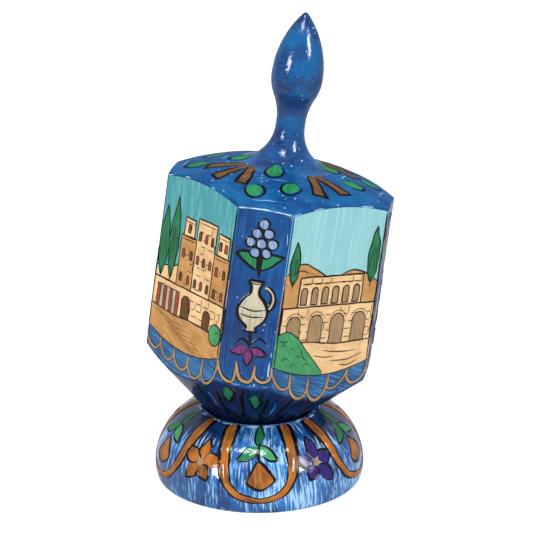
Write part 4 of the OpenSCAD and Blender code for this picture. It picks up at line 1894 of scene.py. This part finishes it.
@dataclass
class DreidelPiece:
    """The dreidel: its wood and all the paint on it."""

    form: DreidelForm = field(default_factory=DreidelForm)
    body: str = "dreidel"
    face_turn: float = math.radians(-8.3)
    # Below this radius the cone is painted darker: painted shade where it sits in the stand's cup
    cup_shade_round: float = 16.0
    cone_round: float = 21.0
    dome_round: float = 22.0

    top_coat, side_coat, point_coat, cup_coat, stem_coat = range(5)

    def __post_init__(self) -> None:
        """Walk round the body once, for all rings."""
        self.walk = self.form.plan()

    def seat(self) -> Matrix:
        """Find the leaning place in the stand from the spin joint.

        Returns:
            From the dreidel's own upright millimetres to the frame's metres.
        """
        joint = next(j for j in frame["joints"] if j["child"] == self.body)
        axis = Vector(joint["axis"]).normalized()
        toward = math.atan2(axis.y, axis.x)
        lean = math.acos(axis.z)
        return (Matrix.Translation(joint["pos_m"]) @ Matrix.Rotation(toward, 4, "Z")
                @ Matrix.Rotation(lean, 4, "Y") @ Matrix.Rotation(self.face_turn - toward, 4, "Z")
                @ Matrix.Scale(METRE, 4))

    def wood(self) -> Draft:
        """Loft the wood as rings from its point to the end of its stem.

        Returns:
            The mesh in the making.
        """
        form = self.form
        out, rise = math.cos(form.cone_half), -math.sin(form.cone_half)
        foot = form.tip_r * out
        top, side, point = self.top_coat, self.side_coat, self.point_coat
        # Each ring's places, the paint of the faces up to it and how far the brush ran since the last ring
        rows = [(self.circle(*spot), point, 0.4)
                for spot in arc(0.0, form.tip_mid, form.tip_r, -QUARTER, -form.cone_half, 6)]
        for radius in (foot + (self.cone_round - foot) * i / 8 for i in range(1, 9)):
            # Near the point the cone wears the darker cup paint: painted shade
            coat = self.cup_coat if radius < self.cup_shade_round else point
            rows.append((self.circle(radius, form.cone_z(radius), out, rise), coat, 3.0))
        rows += [(self.spread(form.cone, self.cone_round, i / 3), point, 1.5) for i in (1, 2, 3)]
        rows += [(self.eased(form.cone, i / 4, -1), point if i < 3 else side, 0.2) for i in (1, 2, 3, 4)]
        rows += [(self.wall(i / 10), side, 4.6) for i in range(1, 11)]
        rows += [(self.eased(form.top, 1 - i / 4, 1), side if i < 2 else top, 0.2) for i in (1, 2, 3, 4)]
        rows += [(self.spread(form.top, self.dome_round, 1 - i / 3), top, 2.0) for i in (1, 2, 3)]
        for radius in (self.dome_round + (form.flare_foot - self.dome_round) * i / 8 for i in range(1, 9)):
            (_, _, height), (out, _, rise) = form.top(radius, 0.0)
            rows.append((self.circle(radius, height, out, rise), top, 1.2))
        last = form.flare_foot, form.dome_z(form.flare_foot)
        for spot in form.stem_profile():
            rows.append((self.circle(*spot), self.stem_coat, math.dist(last, spot[:2])))
            last = spot[:2]
        draft = Draft(Paint.DOME_BLUE, Paint.SIDE_BLUE, Paint.POINT_NAVY, Paint.CUP_NAVY, Paint.STEM_BLUE)
        rings, along = [], 0.0
        for places, coat, step in rows:
            along += step
            rings.append(([draft.vertex((p, n, ring_grain(p[0], p[1], along))) for p, n in places], coat))
        draft.loft(rings, form.tip_mid - form.tip_r, form.end_mid + form.end_r)
        return draft

    def circle(self, radius: float, height: float, out: float, rise: float) -> list[Spot]:
        """Give a round ring at one place of the turned outline, with the plan's own turns."""
        return [around(radius, math.atan2(y, x), height, out, rise) for (x, y), _ in self.walk]

    def spread(self, surface: Callable[[float, float], Spot], inner: float, share: float) -> list[Spot]:
        """Give a ring between a circle and the body's plan.

        Args:
            surface: The cone or the top.
            inner: The circle's radius.
            share: Nothing at the circle, one at the plan.

        Returns:
            The ring's places and normals.
        """
        found = []
        for (x, y), (i, j) in self.walk:
            size = math.hypot(x, y)
            a = (x - i * self.form.edge_set) * share + x / size * inner * (1 - share)
            b = (y - j * self.form.edge_set) * share + y / size * inner * (1 - share)
            found.append(surface(a, b))
        return found

    def eased(self, surface: Callable[[float, float], Spot], share: float, side: int) -> list[Spot]:
        """Give a ring on the rounded edge between the walls and the top or the cone.

        Args:
            surface: The cone or the top.
            share: Nothing there, one on the wall.
            side: One above the walls, minus one below.

        Returns:
            The ring's places and normals.
        """
        ease = self.form.edge_set
        found = []
        for (x, y), (i, j) in self.walk:
            inner, tilt = map(Vector, surface(x - i * ease, y - j * ease))
            corner = Vector(surface(x, y)[0])
            wall = corner - Vector((0, 0, ease * side))
            spot = inner * (1 - share) ** 2 + corner * 2 * share * (1 - share) + wall * share ** 2
            tilt = tilt * (1 - share) + Vector((i, j, 0)) * share
            found.append((tuple(spot), tuple(tilt.normalized())))
        return found

    def wall(self, share: float) -> list[Spot]:
        """Give a ring on the upright walls.

        Args:
            share: Nothing at the lower edge, one at the upper.

        Returns:
            The ring's places and normals.
        """
        found = []
        for (x, y), (i, j) in self.walk:
            size = math.hypot(x, y)
            low = self.form.cone_z(size) + self.form.edge_set
            high = self.form.dome_z(size) - self.form.edge_set
            found.append(((x, y, low + (high - low) * share), (i, j, 0.0)))
        return found

    def build(self) -> None:
        """Build the wood and every coat of paint."""
        seat = self.seat()
        wood = self.wood().build("dreidel_wood", self.body, seat)
        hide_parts("dreidel")
        for scene in Scene:
            Picture(self.form, scene).build(f"picture_{scene.name.lower()}", self.body, seat)
        for charm in Charm:
            ChamferMotifs(self.form, charm).build(f"chamfer_{charm.name.lower()}", self.body, seat)
        for title, brush in (("top_marks", TopMarks), ("stem", StemShade), ("trim", Trim),
                             ("point", PointLeaves)):
            brush(self.form).build(title, self.body, seat)


@dataclass
class StandPiece:
    """The stand: its wood and the ornament round it."""

    form: StandForm = field(default_factory=StandForm)
    body: str = "stand"
    garland_turn: float = math.radians(-54.5)

    def wood(self) -> Draft:
        """Turn the wood as rings from the middle of its underside to the middle of its cup.

        Returns:
            The mesh in the making.
        """
        draft = Draft(Paint.BARE_WOOD, Paint.STAND_BLUE, Paint.CUP_NAVY)
        rings, along, last = [], 0.0, (0.0, 0.0)
        for (radius, height, out, rise), coat in self.form.rings():
            along += math.dist(last, (radius, height))
            last = radius, height
            numbers = []
            for turn in (TURN * i / self.form.steps for i in range(self.form.steps)):
                point, normal = around(radius, turn, height, out, rise)
                grain = (point[0], 0.0, point[1]) if coat == 0 else ring_grain(point[0], point[1], along)
                numbers.append(draft.vertex((point, normal, grain)))
            rings.append((numbers, coat))
        draft.loft(rings, 0.0, self.form.floor_z)
        return draft

    def build(self) -> None:
        """Build the wood and its ornament."""
        place = Matrix.Scale(METRE, 4)
        wood = self.wood().build("stand_wood", self.body, place)
        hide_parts("stand")
        StandGarland(self.form, self.garland_turn).build("garland", self.body, place)


def set_down(thing: bpy.types.Object, aim: Triple, turn: float, rise: float, distance: float) -> None:
    """Place a camera or a lamp so that it faces the object.

    Args:
        thing: The camera or the lamp.
        aim: The place that it faces, in metres.
        turn: Its direction, to the right of the front.
        rise: Its height as an angle over the table.
        distance: How far away it stands, in metres.
    """
    toward = Vector((math.sin(turn) * math.cos(rise), -math.cos(turn) * math.cos(rise), math.sin(rise)))
    thing.location = Vector(aim) + toward * distance
    thing.rotation_mode = "QUATERNION"
    thing.rotation_quaternion = (-toward).to_track_quat("-Z", "Y")
    bpy.context.scene.collection.objects.link(thing)


@dataclass(frozen=True)
class Lamp:
    """One soft box, with its turn and rise in degrees, its width and height in metres and its power in watts.

    A plain lamp lights the colours, and the lacquer mirrors a shiny one.
    """

    name: str
    turn: float
    rise: float
    size: Pair
    power: float
    plain: bool = True
    shiny: bool = True

    def build(self, aim: Triple, distance: float) -> None:
        """Add the lamp.

        Args:
            aim: The place that it faces.
            distance: How far away it stands.
        """
        data = bpy.data.lights.new(self.name, "AREA")
        data.shape = "RECTANGLE"
        data.size, data.size_y = self.size
        data.energy = self.power
        lamp = bpy.data.objects.new(self.name, data)
        set_down(lamp, aim, math.radians(self.turn), math.radians(self.rise), distance)
        lamp.visible_diffuse = self.plain
        lamp.visible_glossy = self.shiny


@dataclass
class Studio:
    """The camera, the lamps, the pale floor and the white room."""

    elevation: float = math.radians(20.0)
    distance: float = 0.7794
    aim: Triple = (0.00286, 0.0, 0.0583)
    focal_pixels: float = 2941.0
    frame_pixels: float = 540.0
    sensor: float = 36.0
    clip: Pair = (0.05, 20.0)
    lamp_distance: float = 0.9
    room_light: float = 0.2
    room_colour: tuple[float, ...] = (0.92, 0.95, 1.0, 1.0)
    white: tuple[float, ...] = (1.0, 1.0, 1.0, 1.0)
    floor_half: float = 6.0
    floor_grey: float = 0.5
    floor_rough: float = 0.9
    floor_lift: float = 0.77
    lamps: tuple[Lamp, ...] = (
        Lamp("right_box", 51, 29, (0.10, 0.36), 4.7),
        Lamp("right_shine", 51, 29, (0.24, 0.36), 20.0, plain=False),
        Lamp("left_box", -48, 18, (0.10, 0.27), 3.4),
        Lamp("left_shine", -48, 18, (0.20, 0.27), 14.0, plain=False),
        Lamp("top_box", -16, 64, (0.30, 0.09), 5.2),
        Lamp("top_shine", -16, 64, (0.36, 0.12), 8.0, plain=False),
        Lamp("back_box", 168, 48, (0.50, 0.50), 2.4, shiny=False))

    def build(self) -> None:
        """Set up everything that isn't the object."""
        self.camera()
        self.floor()
        self.world()
        for lamp in self.lamps:
            lamp.build(self.aim, self.lamp_distance)
        bpy.context.scene.view_settings.view_transform = "Standard"

    def camera(self) -> None:
        """Place the camera at the photograph's viewing angle."""
        data = bpy.data.cameras.new("camera")
        data.sensor_width = self.sensor
        data.lens = self.sensor * self.focal_pixels / self.frame_pixels
        data.clip_start, data.clip_end = self.clip
        camera = bpy.data.objects.new("camera", data)
        set_down(camera, self.aim, 0.0, self.elevation, self.distance)
        bpy.context.scene.camera = camera

    def floor(self) -> None:
        """Lay a plain pale floor that shows white to the camera but keeps the object's shadow."""
        far = self.floor_half
        mesh = bpy.data.meshes.new("floor")
        mesh.from_pydata([(-far, -far, 0), (far, -far, 0), (far, far, 0), (-far, far, 0)], [], [(0, 1, 2, 3)])
        floor = bpy.data.objects.new("floor", mesh)
        bpy.context.scene.collection.objects.link(floor)
        made = bpy.data.materials.new("floor")
        nodes = Nodes(made)
        nodes.fill(nodes.shader(), {
            "Base Color": (self.floor_grey,) * 3 + (1.0,), "Roughness": self.floor_rough,
            "Specular IOR Level": 0.0, "Emission Color": self.white,
            "Emission Strength": nodes.sum("MULTIPLY", nodes.seen(), self.floor_lift)})
        mesh.materials.append(made)

    def world(self) -> None:
        """Light the room softly and show it white to the camera."""
        room = bpy.data.worlds.new("room")
        bpy.context.scene.world = room
        nodes = Nodes(room)
        nodes.tree.nodes.clear()
        soft = nodes.add("Background", {"Color": self.room_colour, "Strength": self.room_light})
        plain = nodes.add("Background", {"Color": self.white})
        mix = nodes.add("MixShader", {"Fac": nodes.seen(), 1: soft.outputs["Background"],
                                      2: plain.outputs["Background"]})
        nodes.add("OutputWorld", {"Surface": mix.outputs["Shader"]})


def main() -> None:
    """Build the studio, the stand and the dreidel."""
    logging.basicConfig(level=logging.INFO, format="%(name)s: %(message)s")
    for part in (Studio(), StandPiece(), DreidelPiece()):
        part.build()
        LOG.info("%s is built", type(part).__name__)


if __name__ == "__main__":
    main()
